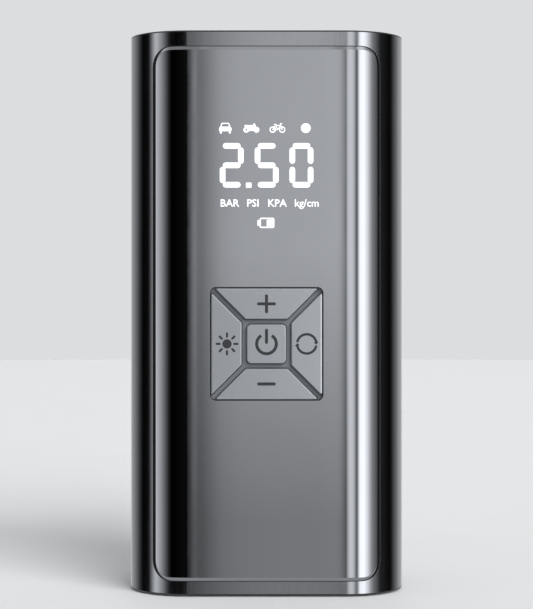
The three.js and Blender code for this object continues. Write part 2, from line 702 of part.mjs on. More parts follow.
function displayModule() {
  const outline = boardShape(DISPLAY_WIDTH, DISPLAY_LOW, DISPLAY_HIGH);
  return extrude(outline, 'y', PANEL_BACK + PANEL_GLUE, BOARD_FRONT - SEAT);
}

// The board with its five key switches in front and two chips behind, above the pump frame's shelf.
function mainBoard() {
  const board = extrude(boardShape(BOARD_WIDTH, BOARD_LOW, BOARD_HIGH), 'y', BOARD_FRONT, BOARD_BACK);
  const low = SHELF_HIGH + CHIP / 2;
  const chips = [-CHIP_X, CHIP_X].map((x) => box(
    x - CHIP / 2, x + CHIP / 2, BOARD_BACK - SEAT, BOARD_BACK + CHIP_HEIGHT, low, low + CHIP));
  return join([board, ...chips, ...SWITCH_PLACES.map(keySwitch)]);
}

// ---------------------------------------------------------------- battery

function cellPlaces() {
  const places = [];
  for (let i = 0; i < CELL_COUNT; i += 1) {
    places.push((i - (CELL_COUNT - 1) / 2) * CELL_PITCH);
  }
  return places;
}

function cell(x) {
  const shoulder = CELL_HIGH - CELL_BUTTON_HEIGHT;
  const profile = [
    [0, CELL_LOW], [CELL_RADIUS - CELL_EDGE, CELL_LOW], [CELL_RADIUS, CELL_LOW + CELL_EDGE],
    [CELL_RADIUS, shoulder - CELL_EDGE], [CELL_RADIUS - CELL_EDGE, shoulder],
    [CELL_BUTTON, shoulder], [CELL_BUTTON, CELL_HIGH], [0, CELL_HIGH],
  ];
  return revolve(profile, 'z', [x, PUMP_Y, 0], FINE);
}

// A cell holder: three cups, with arms to the case's walls and forward to the board and the screws.
function holder(low, lipLow) {
  const high = low + HOLDER_HEIGHT;
  const round = CELL_RADIUS + HOLDER_RIM;
  const block = extrude(slotShape(2 * HOLDER_HALF, 2 * round, 0, PUMP_Y), 'z', low, high, { segments: 3 });
  const side = HOLDER_HALF + HOLDER_ROOM;
  const arms = [box(-side, side, PUMP_Y - HOLDER_ARM / 2, PUMP_Y + HOLDER_ARM / 2, low, high)];
  for (const x of [-SCREW_X, SCREW_X]) {
    arms.push(box(
      x - HOLDER_BOSS, x + HOLDER_BOSS, BOARD_BACK + 2 * FIT, CAVITY_BACK - HOLDER_BACK_GAP, low, high));
  }
  const cupLow = lipLow ? low + HOLDER_LIP : low - BRIM;
  const cupHigh = lipLow ? high + BRIM : high - HOLDER_LIP;
  const cups = cellPlaces().flatMap((x) => [
    rod(CELL_RADIUS + FIT, 'z', [x, PUMP_Y, 0], cupLow, cupHigh, FINE),
    rod(CELL_RADIUS - HOLDER_SEAT, 'z', [x, PUMP_Y, 0], low - BRIM, high + BRIM, FINE),
  ]);
  return cut(join([block, ...arms]), cups);
}

function lowerHolder() {
  const holes = screwPlaces().map(([x, y]) => rod(
    SCREW_SHANK + SNUG, 'z', [x, y, 0], LOWER_HOLDER - BRIM, LOWER_HOLDER + SCREW_LENGTH, COARSE));
  return cut(holder(LOWER_HOLDER, true), holes);
}

function strap(from, to, low) {
  const length = to - from + STRAP_WIDTH;
  const outline = roundedRect(length, STRAP_WIDTH, STRAP_ROUND, (from + to) / 2, PUMP_Y);
  return extrude(outline, 'z', low, low + STRAP);
}

// The small board behind the cells, between the two holders, with its row of switching chips.
function protectionBoard() {
  const front = PUMP_Y + CELL_RADIUS + FIT;
  const back = front + THIN_BOARD;
  const low = LOWER_HOLDER + HOLDER_HEIGHT + PROTECTION_GAP;
  const high = UPPER_HOLDER - PROTECTION_GAP;
  const middle = (low + high) / 2;
  const chips = box(
    -PROTECTION_CHIP_WIDTH / 2, PROTECTION_CHIP_WIDTH / 2, back - SEAT, back + CHIP_HEIGHT,
    middle - PROTECTION_CHIP_HEIGHT / 2, middle + PROTECTION_CHIP_HEIGHT / 2);
  return extrude(boardShape(PROTECTION_WIDTH, low, high), 'y', front, back).add(chips);
}

// ---------------------------------------------------------------- motor and gears

// One gear in the (y, z) plane with true involute flanks, its first tooth at `phase` from the +y axis.
function gearOutline(teeth, phase) {
  const pitch = MODULE * teeth / 2;
  const base = pitch * Math.cos(PRESSURE_ANGLE);
  const outer = pitch + ADDENDUM * MODULE;
  const root = pitch - DEDENDUM * MODULE;
  const involute = (angle) => Math.tan(angle) - angle;
  const halfTooth = (Math.PI * MODULE / 2 - BACKLASH / 2) / (2 * pitch);
  const halfAngle = (radius) => {
    const pressure = Math.acos(Math.min(base / radius, 1));
    return halfTooth + involute(PRESSURE_ANGLE) - involute(pressure);
  };
  const start = Math.max(base, root);
  const radii = [start, (start + outer) / 2, outer];
  const step = 2 * Math.PI / teeth;
  const points = [];
  for (let tooth = 0; tooth < teeth; tooth += 1) {
    const middle = phase + tooth * step;
    const flank = radii.map((radius) => [radius, halfAngle(radius)]);
    if (root < base) {
      flank.unshift([root, flank[0][1]]);
    }
    for (const [radius, half] of flank) {
      points.push([radius * Math.cos(middle - half), radius * Math.sin(middle - half)]);
    }
    for (const [radius, half] of flank.reverse()) {
      points.push([radius * Math.cos(middle + half), radius * Math.sin(middle + half)]);
    }
  }
  return points;
}

function gearSolid(teeth, phase, z) {
  const points = gearOutline(teeth, phase).map(([u, v]) => [u + PUMP_Y, v + z]);
  return extrude(polygon(points), 'x', GEAR_LEFT, GEAR_RIGHT);
}

// A hole right through the gears' width.
function gearHole(radius, y, z) {
  return rod(radius, 'x', [0, y, z], GEAR_LEFT - BRIM, GEAR_RIGHT + BRIM, COARSE);
}

function motorPinion() {
  const up = Math.PI / 2; // a tooth of the pinion points up at the gear
  return gearSolid(PINION_TEETH, up, MOTOR_Z).subtract(gearHole(SHAFT_RADIUS + SNUG, PUMP_Y, MOTOR_Z));
}

// The half beside the pin is lightened, so that the rest balances the piston.
function crankGear() {
  const down = -Math.PI / 2 + Math.PI / GEAR_TEETH; // a gap of the gear points down at the pinion
  const lighten = GEAR_HOLE_REACH * Math.SQRT1_2;
  return cut(gearSolid(GEAR_TEETH, down, CRANK_Z), [
    gearHole(CRANK_SHAFT_RADIUS + SNUG, PUMP_Y, CRANK_Z),
    gearHole(CRANK_PIN_RADIUS + SNUG, PUMP_Y, CRANK_PIN_Z),
    gearHole(GEAR_HOLE, PUMP_Y - lighten, CRANK_Z + lighten),
    gearHole(GEAR_HOLE, PUMP_Y + lighten, CRANK_Z + lighten),
  ]);
}

function motorCan() {
  const hole = SHAFT_RADIUS + FIT;
  const inner = MOTOR_RADIUS - MOTOR_WALL;
  const innerFace = MOTOR_FACE - MOTOR_WALL;
  const bossFace = MOTOR_FACE + MOTOR_BOSS_HEIGHT;
  const profile = [
    [hole, innerFace], [hole, bossFace], [MOTOR_BOSS, bossFace], [MOTOR_BOSS, MOTOR_FACE],
    [MOTOR_RADIUS - MOTOR_EDGE, MOTOR_FACE], [MOTOR_RADIUS, MOTOR_FACE - MOTOR_EDGE],
    [MOTOR_RADIUS, MOTOR_BACK], [inner, MOTOR_BACK], [inner, innerFace], [hole, innerFace],
  ];
  const can = revolve(profile, 'x', [0, PUMP_Y, MOTOR_Z], FINEST);
  const holes = [-1, 1].map((side) => rod(
    SCREW_SHANK + SNUG, 'x', [0, PUMP_Y + side * MOTOR_SCREW_OFFSET, MOTOR_Z],
    innerFace - BRIM, MOTOR_FACE + BRIM, COARSE));
  return cut(can, holes);
}

function motorBell() {
  const right = MOTOR_BACK - SEAT;
  const outer = MOTOR_RADIUS - MOTOR_EDGE;
  const hole = SHAFT_RADIUS + SNUG;
  const floor = BELL_LEFT + BELL_PLATE;
  const profile = [
    [hole, BELL_LEFT], [outer - BELL_EDGE, BELL_LEFT], [outer, BELL_LEFT + BELL_EDGE], [outer, right],
    [BELL_BORE, right], [BELL_BORE, floor], [hole, floor], [hole, BELL_LEFT],
  ];
  return revolve(profile, 'x', [0, PUMP_Y, MOTOR_Z], FINEST);
}

// One curved magnet, its middle `turn` degrees round the motor's axis from +y.
function magnet(turn) {
  const band = arcBand(MAGNET_INNER, MAGNET_OUTER, -MAGNET_ARC / 2, MAGNET_ARC / 2);
  return extrude(band, 'x', ROTOR_LEFT - MAGNET_MARGIN, ROTOR_RIGHT + MAGNET_MARGIN, { segments: 5 })
    .rotate([turn, 0, 0])
    .translate([0, PUMP_Y, MOTOR_Z]);
}

// A hub with three poles round it, each a stem and a curved shoe.
function armature() {
  const shoe = arcBand(ROTOR_RADIUS - POLE_SHOE, ROTOR_RADIUS, -POLE_ARC / 2, POLE_ARC / 2);
  const stem = rect(POLE_HUB / 2, ROTOR_RADIUS - POLE_SHOE / 2, -POLE_STEM / 2, POLE_STEM / 2);
  const pole = join([
    extrude(shoe, 'x', ROTOR_LEFT, ROTOR_RIGHT, { segments: 4 }),
    extrude(stem, 'x', ROTOR_LEFT, ROTOR_RIGHT),
  ]);
  const parts = [rod(POLE_HUB, 'x', [0, 0, 0], ROTOR_LEFT, ROTOR_RIGHT, FINE)];
  for (let i = 0; i < POLE_COUNT; i += 1) {
    parts.push(pole.rotate([90 + i * 360 / POLE_COUNT, 0, 0]));
  }
  const bore = rod(SHAFT_RADIUS + SNUG, 'x', [0, 0, 0], ROTOR_LEFT - BRIM, ROTOR_RIGHT + BRIM, COARSE);
  return join(parts).subtract(bore).translate([0, PUMP_Y, MOTOR_Z]);
}

function commutator() {
  const left = BELL_LEFT + BELL_PLATE + COMMUTATOR_GAP;
  const right = ROTOR_LEFT - COMMUTATOR_GAP;
  return pipe(SHAFT_RADIUS + SNUG, COMMUTATOR_RADIUS, 'x', [0, PUMP_Y, MOTOR_Z], left, right, COARSE);
}

function rotorShaft() {
  return rod(SHAFT_RADIUS, 'x', [0, PUMP_Y, MOTOR_Z], BELL_LEFT, GEAR_RIGHT + SHAFT_END, COARSE);
}

function motorScrew(side) {
  const seat = FRAME_FRONT + FRAME_PLATE + SEAT;
  const tip = MOTOR_FACE - MOTOR_WALL;
  const top = seat + SCREW_HEAD_HEIGHT;
  const profile = [
    [0, top], [MOTOR_SCREW_HEAD, top], [MOTOR_SCREW_HEAD, seat],
    [SCREW_SHANK, seat], [SCREW_SHANK, tip], [0, tip],
  ];
  return revolve(profile, 'x', [0, PUMP_Y + side * MOTOR_SCREW_OFFSET, MOTOR_Z], COARSE);
}

// An upright plate between motor and gear, and a shelf over the gear that carries the cylinder.
function pumpFrame() {
  const low = MOTOR_Z - FRAME_DROP;
  const left = FRAME_FRONT;
  const right = CAVITY_WIDTH / 2 - FIT;
  const front = PUMP_Y - FRAME_REACH;
  const back = CAVITY_BACK - FIT;
  const bossRight = BEARING_RIGHT + FIT;
  const crank = [0, PUMP_Y, CRANK_Z];
  const plate = extrude(
    roundedPolygon([[front, low], [back, low], [back, SHELF_HIGH], [front, SHELF_HIGH]], FRAME_ROUND),
    'x', left, left + FRAME_PLATE);
  const shelf = box(left, right, BOARD_BACK + FIT, back, SHELF_LOW, SHELF_HIGH);
  const ribEnd = right - RIB_SHORT;
  const rib = extrude(
    polygon([[left, SHELF_LOW - RIB_DROP], [left, SHELF_HIGH], [ribEnd, SHELF_HIGH], [ribEnd, SHELF_LOW]]),
    'y', back - FRAME_PLATE, back);
  const boss = rod(BEARING_RADIUS + BEARING_WALL, 'x', crank, left, bossRight, FINE);
  const inside = caseSection(WALL + FIT, low - BRIM, SHELF_HIGH + BRIM);
  const screwHoles = [-1, 1].map((side) => rod(
    SCREW_SHANK + FIT, 'x', [0, PUMP_Y + side * MOTOR_SCREW_OFFSET, MOTOR_Z],
    left - BRIM, left + FRAME_PLATE + BRIM, COARSE));
  return cut(join([plate, shelf, rib, boss]).intersect(inside), [
    rod(BEARING_RADIUS + SNUG, 'x', crank, left + BEARING_SHOULDER, bossRight + BRIM, FINE),
    rod(BEARING_RADIUS - BEARING_LIP, 'x', crank, left - BRIM, bossRight, FINE),
    rod(MOTOR_BOSS + FIT, 'x', [0, PUMP_Y, MOTOR_Z], left - BRIM, bossRight, FINE),
    rod(BORE_RADIUS + FIT, 'z', [CYLINDER_X, PUMP_Y, 0], SHELF_LOW - BRIM, SHELF_HIGH + BRIM, FINE),
    ...screwHoles,
  ]);
}

function crankBearing() {
  const inner = CRANK_SHAFT_RADIUS + SNUG;
  return pipe(inner, BEARING_RADIUS, 'x', [0, PUMP_Y, CRANK_Z], BEARING_LEFT, BEARING_RIGHT, FINE);
}

function crankShaft() {
  return rod(CRANK_SHAFT_RADIUS, 'x', [0, PUMP_Y, CRANK_Z], FRAME_FRONT + SEAT, GEAR_RIGHT + SEAT, COARSE);
}

// The pin stops just short of the rod, where the closed linkage is left open.
function crankPin() {
  return rod(CRANK_PIN_RADIUS, 'x', [0, PUMP_Y, CRANK_PIN_Z], GEAR_LEFT, ROD_LEFT - FIT, COARSE);
}

// ---------------------------------------------------------------- compressor

function connectingRod() {
  const big = rod(BIG_END_RADIUS, 'x', [0, PUMP_Y, CRANK_PIN_Z], ROD_LEFT, ROD_RIGHT, FINE);
  const small = rod(SMALL_END_RADIUS, 'x', [0, PUMP_Y, WRIST_Z], ROD_LEFT, ROD_RIGHT, COARSE);
  const shank = (inset, from, to) => polygon([
    [PUMP_Y - ROD_FLARE / 2 + inset, from], [PUMP_Y + ROD_FLARE / 2 - inset, from],
    [PUMP_Y + ROD_WAIST / 2 - inset, to], [PUMP_Y - ROD_WAIST / 2 + inset, to],
  ]);
  const web = extrude(
    shank(0, CRANK_PIN_Z + BIG_END_RADIUS / 2, WRIST_Z - SMALL_END_RADIUS / 2), 'x', ROD_LEFT, ROD_RIGHT);
  const flute = shank(
    ROD_FLANGE, CRANK_PIN_Z + BIG_END_RADIUS + ROD_FLANGE, WRIST_Z - SMALL_END_RADIUS - ROD_FLANGE);
  const bushHole = CRANK_PIN_RADIUS + FIT + BUSH_WALL + SNUG;
  return cut(join([big, small, web]), [
    rod(bushHole, 'x', [0, PUMP_Y, CRANK_PIN_Z], ROD_LEFT - BRIM, ROD_RIGHT + BRIM, FINE),
    rod(CRANK_PIN_RADIUS + SNUG, 'x', [0, PUMP_Y, WRIST_Z], ROD_LEFT - BRIM, ROD_RIGHT + BRIM, COARSE),
    extrude(flute, 'x', ROD_LEFT - BRIM, ROD_LEFT + ROD_FLUTE),
    extrude(flute, 'x', ROD_RIGHT - ROD_FLUTE, ROD_RIGHT + BRIM),
  ]);
}

function bigEndBush() {
  const bore = CRANK_PIN_RADIUS + FIT;
  return pipe(bore, bore + BUSH_WALL, 'x', [0, PUMP_Y, CRANK_PIN_Z], ROD_LEFT, ROD_RIGHT, FINE);
}

function piston() {
  const low = WRIST_Z - PISTON_HALF;
  const high = WRIST_Z + PISTON_HALF;
  const groove = PISTON_RADIUS - RING_DEPTH;
  const inner = PISTON_RADIUS - PISTON_WALL;
  const roof = WRIST_Z + SMALL_END_RADIUS + FIT;
  const profile = [
    [inner, low], [PISTON_RADIUS, low], [PISTON_RADIUS, RING_LOW], [groove, RING_LOW], [groove, RING_HIGH],
    [PISTON_RADIUS, RING_HIGH], [PISTON_RADIUS, high], [0, high], [0, roof], [inner, roof], [inner, low],
  ];
  const reach = PISTON_RADIUS + BRIM;
  const pinHole = rod(
    CRANK_PIN_RADIUS + SNUG, 'x', [0, PUMP_Y, WRIST_Z], CYLINDER_X - reach, CYLINDER_X + reach, COARSE);
  return revolve(profile, 'z', [CYLINDER_X, PUMP_Y, 0], FINE).subtract(pinHole);
}

function pistonRing() {
  const inner = PISTON_RADIUS - RING_DEPTH + SNUG;
  const outer = BORE_RADIUS - SNUG;
  return pipe(inner, outer, 'z', [CYLINDER_X, PUMP_Y, 0], RING_LOW + SEAT, RING_HIGH - SEAT, FINE);
}

function wristPin() {
  const reach = PISTON_RADIUS - PIN_INSET;
  return rod(CRANK_PIN_RADIUS, 'x', [0, PUMP_Y, WRIST_Z], CYLINDER_X - reach, CYLINDER_X + reach, COARSE);
}

// A finned barrel between a foot flange and a head flange.
function cylinder() {
  const wall = BORE_RADIUS + CYLINDER_WALL;
  const low = CYLINDER_LOW + CYLINDER_FLANGE;
  const high = CYLINDER_HIGH - CYLINDER_FLANGE;
  const pitch = (high - low) / (FIN_COUNT + 1);
  const profile = [
    [BORE_RADIUS, CYLINDER_LOW], [FIN_RADIUS, CYLINDER_LOW], [FIN_RADIUS, low], [wall, low + FIN_SLOPE],
  ];
  for (let fin = 1; fin <= FIN_COUNT; fin += 1) {
    const under = low + fin * pitch - FIN_TIP / 2;
    const over = under + FIN_TIP;
    profile.push(
      [wall, under - FIN_SLOPE], [FIN_RADIUS, under], [FIN_RADIUS, over], [wall, over + FIN_SLOPE]);
  }
  profile.push(
    [wall, high - FIN_SLOPE], [FIN_RADIUS, high], [FIN_RADIUS, CYLINDER_HIGH],
    [BORE_RADIUS, CYLINDER_HIGH], [BORE_RADIUS, CYLINDER_LOW]);
  return revolve(profile, 'z', [CYLINDER_X, PUMP_Y, 0], FINE);
}

function headGasket() {
  const low = CYLINDER_HIGH + SEAT;
  return pipe(BORE_RADIUS, FIN_RADIUS, 'z', [CYLINDER_X, PUMP_Y, 0], low, low + GASKET, FINE);
}

// A tube of the air's way between two places across the case.
function airWay(radius, from, to) {
  return rod(radius, 'x', [0, PUMP_Y, AIR_Z], from, to, COARSE);
}

// A block over the cylinder with the valve's pocket in it and a nipple towards the outlet.
function cylinderHead() {
  const centre = [CYLINDER_X, PUMP_Y, 0];
  const block = rod(FIN_RADIUS, 'z', centre, HEAD_LOW, HEAD_HIGH, FINE);
  const tip = HEAD_LEFT - NIPPLE_LENGTH;
  return cut(block.add(airWay(NIPPLE_RADIUS, tip, HEAD_LEFT + NIPPLE_ROOT)), [
    rod(HEAD_PORT, 'z', centre, HEAD_LOW - BRIM, VALVE_SEAT + BRIM, COARSE),
    rod(VALVE_RADIUS + VALVE_GAP, 'z', centre, VALVE_SEAT, HEAD_HIGH + BRIM, FINE),
    airWay(NIPPLE_BORE, tip - BRIM, CYLINDER_X),
  ]);
}

function valveDisc() {
  const low = VALVE_SEAT + SEAT;
  return rod(VALVE_RADIUS, 'z', [CYLINDER_X, PUMP_Y, 0], low, low + VALVE_THICKNESS, FINE);
}

function valveCap() {
  const low = VALVE_SEAT + SEAT + VALVE_THICKNESS + VALVE_LIFT + SNUG;
  const plug = VALVE_RADIUS + VALVE_GAP - SNUG;
  const brim = plug + VALVE_CAP_BRIM;
  const seat = HEAD_HIGH + SEAT;
  const top = HEAD_HIGH + VALVE_CAP_TOP;
  const profile = [[0, low], [plug, low], [plug, seat], [brim, seat], [brim, top], [0, top]];
  return revolve(profile, 'z', [CYLINDER_X, PUMP_Y, 0], FINE);
}

// ---------------------------------------------------------------- outlet, lamp and socket

function airTube() {
  const inner = NIPPLE_RADIUS + SNUG;
  const left = OUTLET_X + OUTLET_BODY + FIT;
  return pipe(inner, inner + TUBE_WALL, 'x', [0, PUMP_Y, AIR_Z], left, HEAD_LEFT - FIT, COARSE);
}

// The socket that the hose screws into, with a nipple for the air tube and a drilling between them.
function outletInsert() {
  const flangeLow = HEIGHT - OUTLET_FLANGE_HEIGHT;
  const boreLow = HEIGHT - OUTLET_BORE_DEPTH;
  const profile = [
    [0, OUTLET_LOW], [OUTLET_BODY, OUTLET_LOW], [OUTLET_BODY, flangeLow], [OUTLET_FLANGE, flangeLow],
    [OUTLET_FLANGE, HEIGHT], [OUTLET_BORE, HEIGHT], [OUTLET_BORE, boreLow], [0, boreLow],
  ];
  const insert = revolve(profile, 'z', [OUTLET_X, OUTLET_Y, 0], FINEST);
  const side = OUTLET_X + OUTLET_BODY;
  const tip = side + NIPPLE_LENGTH;
  const port = [OUTLET_X + OUTLET_PORT_X, PUMP_Y + OUTLET_PORT_Y, 0];
  return cut(insert.add(airWay(NIPPLE_RADIUS, side - NIPPLE_ROOT, tip)), [
    airWay(NIPPLE_BORE, OUTLET_X, tip + BRIM),
    rod(NIPPLE_BORE, 'z', port, AIR_Z, boreLow + BRIM, COARSE),
  ]);
}

function lampShape(grow) {
  return roundedRect(LAMP_WIDTH + 2 * grow, LAMP_DEPTH + 2 * grow, LAMP_ROUND + grow, LAMP_X);
}

function lampLens() {
  const lipHigh = CEILING - FIT;
  return join([
    extrude(lampShape(0), 'z', lipHigh - LAMP_LIP / 2, HEIGHT),
    extrude(lampShape(LAMP_LIP), 'z', lipHigh - LAMP_LIP, lipHigh),
  ]);
}

function lampBoard() {
  const high = CEILING - 2 * FIT - LAMP_LIP;
  return extrude(lampShape(LAMP_LIP), 'z', high - LAMP_BOARD, high);
}

function chargeSocket() {
  const high = HEIGHT - FIT;
  const low = high - SOCKET_LENGTH;
  const thickness = SOCKET_THICKNESS - 2 * SOCKET_SHELL;
  const width = SOCKET_WIDTH - 2 * SOCKET_SHELL;
  const shell = extrude(slotShape(SOCKET_THICKNESS, SOCKET_WIDTH, SOCKET_X), 'z', low, high);
  const mouth = extrude(slotShape(thickness, width, SOCKET_X), 'z', low + SOCKET_FLOOR, high + BRIM);
  const tongue = box(
    SOCKET_X - SOCKET_TONGUE / 2, SOCKET_X + SOCKET_TONGUE / 2,
    -SOCKET_TONGUE_WIDTH / 2, SOCKET_TONGUE_WIDTH / 2,
    low + SOCKET_FLOOR / 2, high - SOCKET_TONGUE_DROP);
  return shell.subtract(mouth).add(tongue);
}

function socketBoard() {
  const left = SOCKET_X + SOCKET_THICKNESS / 2 + SEAT;
  const high = CEILING - SEAT;
  return box(
    left, left + THIN_BOARD, -SOCKET_BOARD_SIDE / 2, SOCKET_BOARD_SIDE / 2, high - SOCKET_BOARD_SIDE, high);
}

// ---------------------------------------------------------------- the whole inflator

piece('main_shell', mainShell(), gunmetal);
piece('front_panel', frontPanel(), smokedGlass);
piece('top_cap', topCap(), blackPlastic);
piece('bottom_cap', bottomCap(), blackPlastic);
piece('foot_front', foot(-1), rubber);
piece('foot_back', foot(1), rubber);
screwPlaces().forEach(([x, y], i) => piece(`case_screw_${i + 1}`, caseScrew(x, y), darkSteel));

piece('key_web', keyWeb(), webPlastic);
for (const [name, points] of Object.entries(KEYS)) {
  piece(name, key(points), keyPlastic);
}
piece('display_module', displayModule(), whitePlastic);
piece('main_board', mainBoard(), boardGreen);

cellPlaces().forEach((x, i) => piece(`cell_${i + 1}`, cell(x), cellWrap));
piece('cell_holder_lower', lowerHolder(), blackPlastic);
piece('cell_holder_upper', holder(UPPER_HOLDER, false), blackPlastic);
piece('strap_lower_pair', strap(-CELL_PITCH, 0, LOWER_STRAP), nickel);
piece('strap_lower_end', strap(CELL_PITCH, CELL_PITCH, LOWER_STRAP), nickel);
piece('strap_upper_end', strap(-CELL_PITCH, -CELL_PITCH, UPPER_STRAP), nickel);
piece('strap_upper_pair', strap(0, CELL_PITCH, UPPER_STRAP), nickel);
piece('protection_board', protectionBoard(), boardGreen);

piece('motor_can', motorCan(), steel);
piece('motor_bell', motorBell(), blackPlastic);
piece('magnet_upper', magnet(90), magnetGrey);
piece('magnet_lower', magnet(-90), magnetGrey);
piece('rotor_shaft', rotorShaft(), steel);
piece('armature', armature(), darkSteel);
piece('commutator', commutator(), brass);
piece('motor_pinion', motorPinion(), brass);
piece('motor_screw_front', motorScrew(-1), darkSteel);
piece('motor_screw_back', motorScrew(1), darkSteel);

piece('pump_frame', pumpFrame(), castAluminium);
piece('crank_bearing', crankBearing(), steel);
piece('crank_shaft', crankShaft(), steel);
piece('crank_gear', crankGear(), acetal);
piece('crank_pin', crankPin(), steel);
piece('connecting_rod', connectingRod(), acetal);
piece('big_end_bush', bigEndBush(), brass);
piece('wrist_pin', wristPin(), steel);
piece('piston', piston(), castAluminium);
piece('piston_ring', pistonRing(), rubber);
piece('cylinder', cylinder(), castAluminium);
piece('head_gasket', headGasket(), rubber);
piece('cylinder_head', cylinderHead(), castAluminium);
piece('valve_disc', valveDisc(), rubber);
piece('valve_cap', valveCap(), brass);

piece('air_tube', airTube(), silicone);
piece('outlet_insert', outletInsert(), brass);
piece('lamp_lens', lampLens(), frostedLens);
piece('lamp_board', lampBoard(), boardGreen);
piece('charge_socket', chargeSocket(), steel);
piece('socket_board', socketBoard(), boardGreen);

export default inflator;
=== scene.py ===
"""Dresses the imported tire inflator: its visible pieces, their finishes, and the studio it stands in."""

import math
from types import SimpleNamespace

import bmesh
import bpy
from mathutils import Matrix, Vector


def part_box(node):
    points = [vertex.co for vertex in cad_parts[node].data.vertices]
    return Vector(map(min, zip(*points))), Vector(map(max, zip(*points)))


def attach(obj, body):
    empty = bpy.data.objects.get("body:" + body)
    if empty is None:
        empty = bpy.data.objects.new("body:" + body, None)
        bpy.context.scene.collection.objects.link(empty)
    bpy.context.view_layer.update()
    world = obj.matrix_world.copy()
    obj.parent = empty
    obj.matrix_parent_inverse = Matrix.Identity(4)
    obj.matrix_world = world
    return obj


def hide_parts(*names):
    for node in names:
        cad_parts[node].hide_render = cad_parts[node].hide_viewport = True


bl_info = {
    "name": "Tire inflator dressing",
    "version": (1, 0, 0),
    "blender": (4, 5, 0),
    "location": "3D View > Sidebar > Inflator",
    "description": "Models and finishes the visible pieces of a portable tire inflator",
    "category": "Object",
}

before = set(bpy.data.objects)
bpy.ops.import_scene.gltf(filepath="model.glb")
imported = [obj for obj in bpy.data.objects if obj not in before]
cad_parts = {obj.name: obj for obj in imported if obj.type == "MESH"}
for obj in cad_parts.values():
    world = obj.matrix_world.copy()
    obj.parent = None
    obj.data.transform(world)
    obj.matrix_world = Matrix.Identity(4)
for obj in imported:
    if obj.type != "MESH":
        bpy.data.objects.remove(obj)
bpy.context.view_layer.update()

# Pieces are modelled in millimetres and brought to metres when they are finished.
MM = 0.001


def box_of(node_name):
    """The lowest and highest corner of a CAD node, in millimetres."""
    return [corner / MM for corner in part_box(node_name)]


def middle_of(node_name):
    low, high = box_of(node_name)
    return (low + high) / 2


CASE_LOW, CASE_HIGH = box_of("main_shell")
PANEL_LOW, PANEL_HIGH = box_of("front_panel")
TOP_LOW, TOP_HIGH = box_of("top_cap")
BOTTOM_LOW, BOTTOM_HIGH = box_of("bottom_cap")
FRONT = CASE_LOW.y
CASE_WIDTH = CASE_HIGH.x - CASE_LOW.x
CASE_DEPTH = CASE_HIGH.y - CASE_LOW.y
KEY_HEIGHT = middle_of("button_power").z
FEET = {"foot_front": "front_foot_pad", "foot_back": "back_foot_pad"}
SCREWS = range(1, 5)

HAIR = 0.002  # keeps the ends of a fully rounded outline apart
PRINT = 0.03  # how far signs stand out of the face that carries them
CORNER_STEPS, PANEL_STEPS = 18, 8  # flats that make up a corner of the case and of the panel

# Depths behind the case's front face.
LEDGE_FACE = 1.7  # of the ledge that the panel and the key frame are glued to
PANEL_BACK = 1.5
GASKET_FRONT = 0.08
WEB_FRONT, WEB_BACK = 1.35, 2.7
FLANGE_FRONT, FLANGE_BACK = 3.0, 3.8  # of the flange that holds a key behind the web

KEY_OPENING, KEY_OPENING_CORNER = 30.04, 1.55
GASKET_LAP = 0.02  # how far the gasket reaches into the panel and the shell
SKIRT, SKIRT_INNER = -3.3, -4.9  # both sides of a cap's skirt, from the case's outer face
CAP_PLATE = 2.6  # thickness of an end cap
VENT_MIDDLE = 84.6  # height of the middle one of the seven air slots
OUTLET_X, LAMP_X, SOCKET_X = -10, 17, -26  # places along the top

# A flat sheet (across, up, inward) to space: seen from the front, or from above.
TO_FRONT = Matrix(((1, 0, 0, 0), (0, 0, 1, FRONT), (0, 1, 0, 0), (0, 0, 0, 1)))
TO_TOP = Matrix.Identity(4)


# ---------------- settings


def length(name, description, default):
    """A size in metres, given in millimetres."""
    return bpy.props.FloatProperty(
        name=name, description=description, default=default * MM, min=0, unit="LENGTH", precision=5
    )


def colour(name, description, default):
    return bpy.props.FloatVectorProperty(
        name=name, description=description, default=default, size=3, min=0, max=1, subtype="COLOR"
    )


class CaseSizes(bpy.types.PropertyGroup):
    corner: length("Corner radius", "Radius of the case's upright corners", 16)
    wall: length("Wall", "Thickness of the metal shell", 3)
    panel_corner: length("Panel corner", "Radius of the panel's corners", 5)
    panel_slope: length("Panel slope", "Height of the slanted edge along the panel", 0.95)
    panel_slope_depth: length("Slope depth", "Depth of the slanted edge", 0.3)
    panel_side: length("Side edge", "Width of the panel's side edges", 0.5)
    seam: length("Seam", "Gap along the panel's sides", 0.5)
    end_seam: length("End seam", "Gap at the panel's ends", 0.02)
    rim: length("Cap rim", "Height of each end cap's visible rim", 0.42)
    ledge: length("Ledge", "Width of the ledge behind the panel", 3)
    cap_bevel: length("Cap bevel", "Rounding of each end cap's edge", 0.3)
    vent_width: length("Vent width", "Width of an air slot in the back", 26)
    vent_height: length("Vent height", "Height of an air slot in the back", 1.6)
    vent_pitch: length("Vent pitch", "Distance between two air slots", 4)


class KeySizes(bpy.types.PropertyGroup):
    half: length("Square", "Half the width of the key square", 14.75)
    ring: length("Ring", "Half the width of the square inside the outer keys", 6.6)
    power_half: length("Power key", "Half the width of the power key", 5.15)
    channel: length("Channel", "Width of the groove between two keys", 1.5)
    rounding: length("Corner", "Radius of a key's corners", 0.9)


class Finishes(bpy.types.PropertyGroup):
    metal: colour("Shell metal", "Colour of the anodised shell", (0.27, 0.28, 0.30))
    panel: colour("Panel", "Colour of the gloss panel", (0.28, 0.29, 0.31))
    key: colour("Keys", "Colour of the keys", (0.375, 0.395, 0.425))
    web: colour("Key frame", "Colour of the frame between the keys", (0.15, 0.158, 0.172))
    legend: colour("Key signs", "Colour of the signs on the keys", (0.018, 0.019, 0.023))
    lit: colour("Display", "Colour of the lit display signs", (0.95, 0.98, 1.0))
    rubber: colour("Rubber", "Colour of the feet and the panel's gasket", (0.012, 0.012, 0.013))


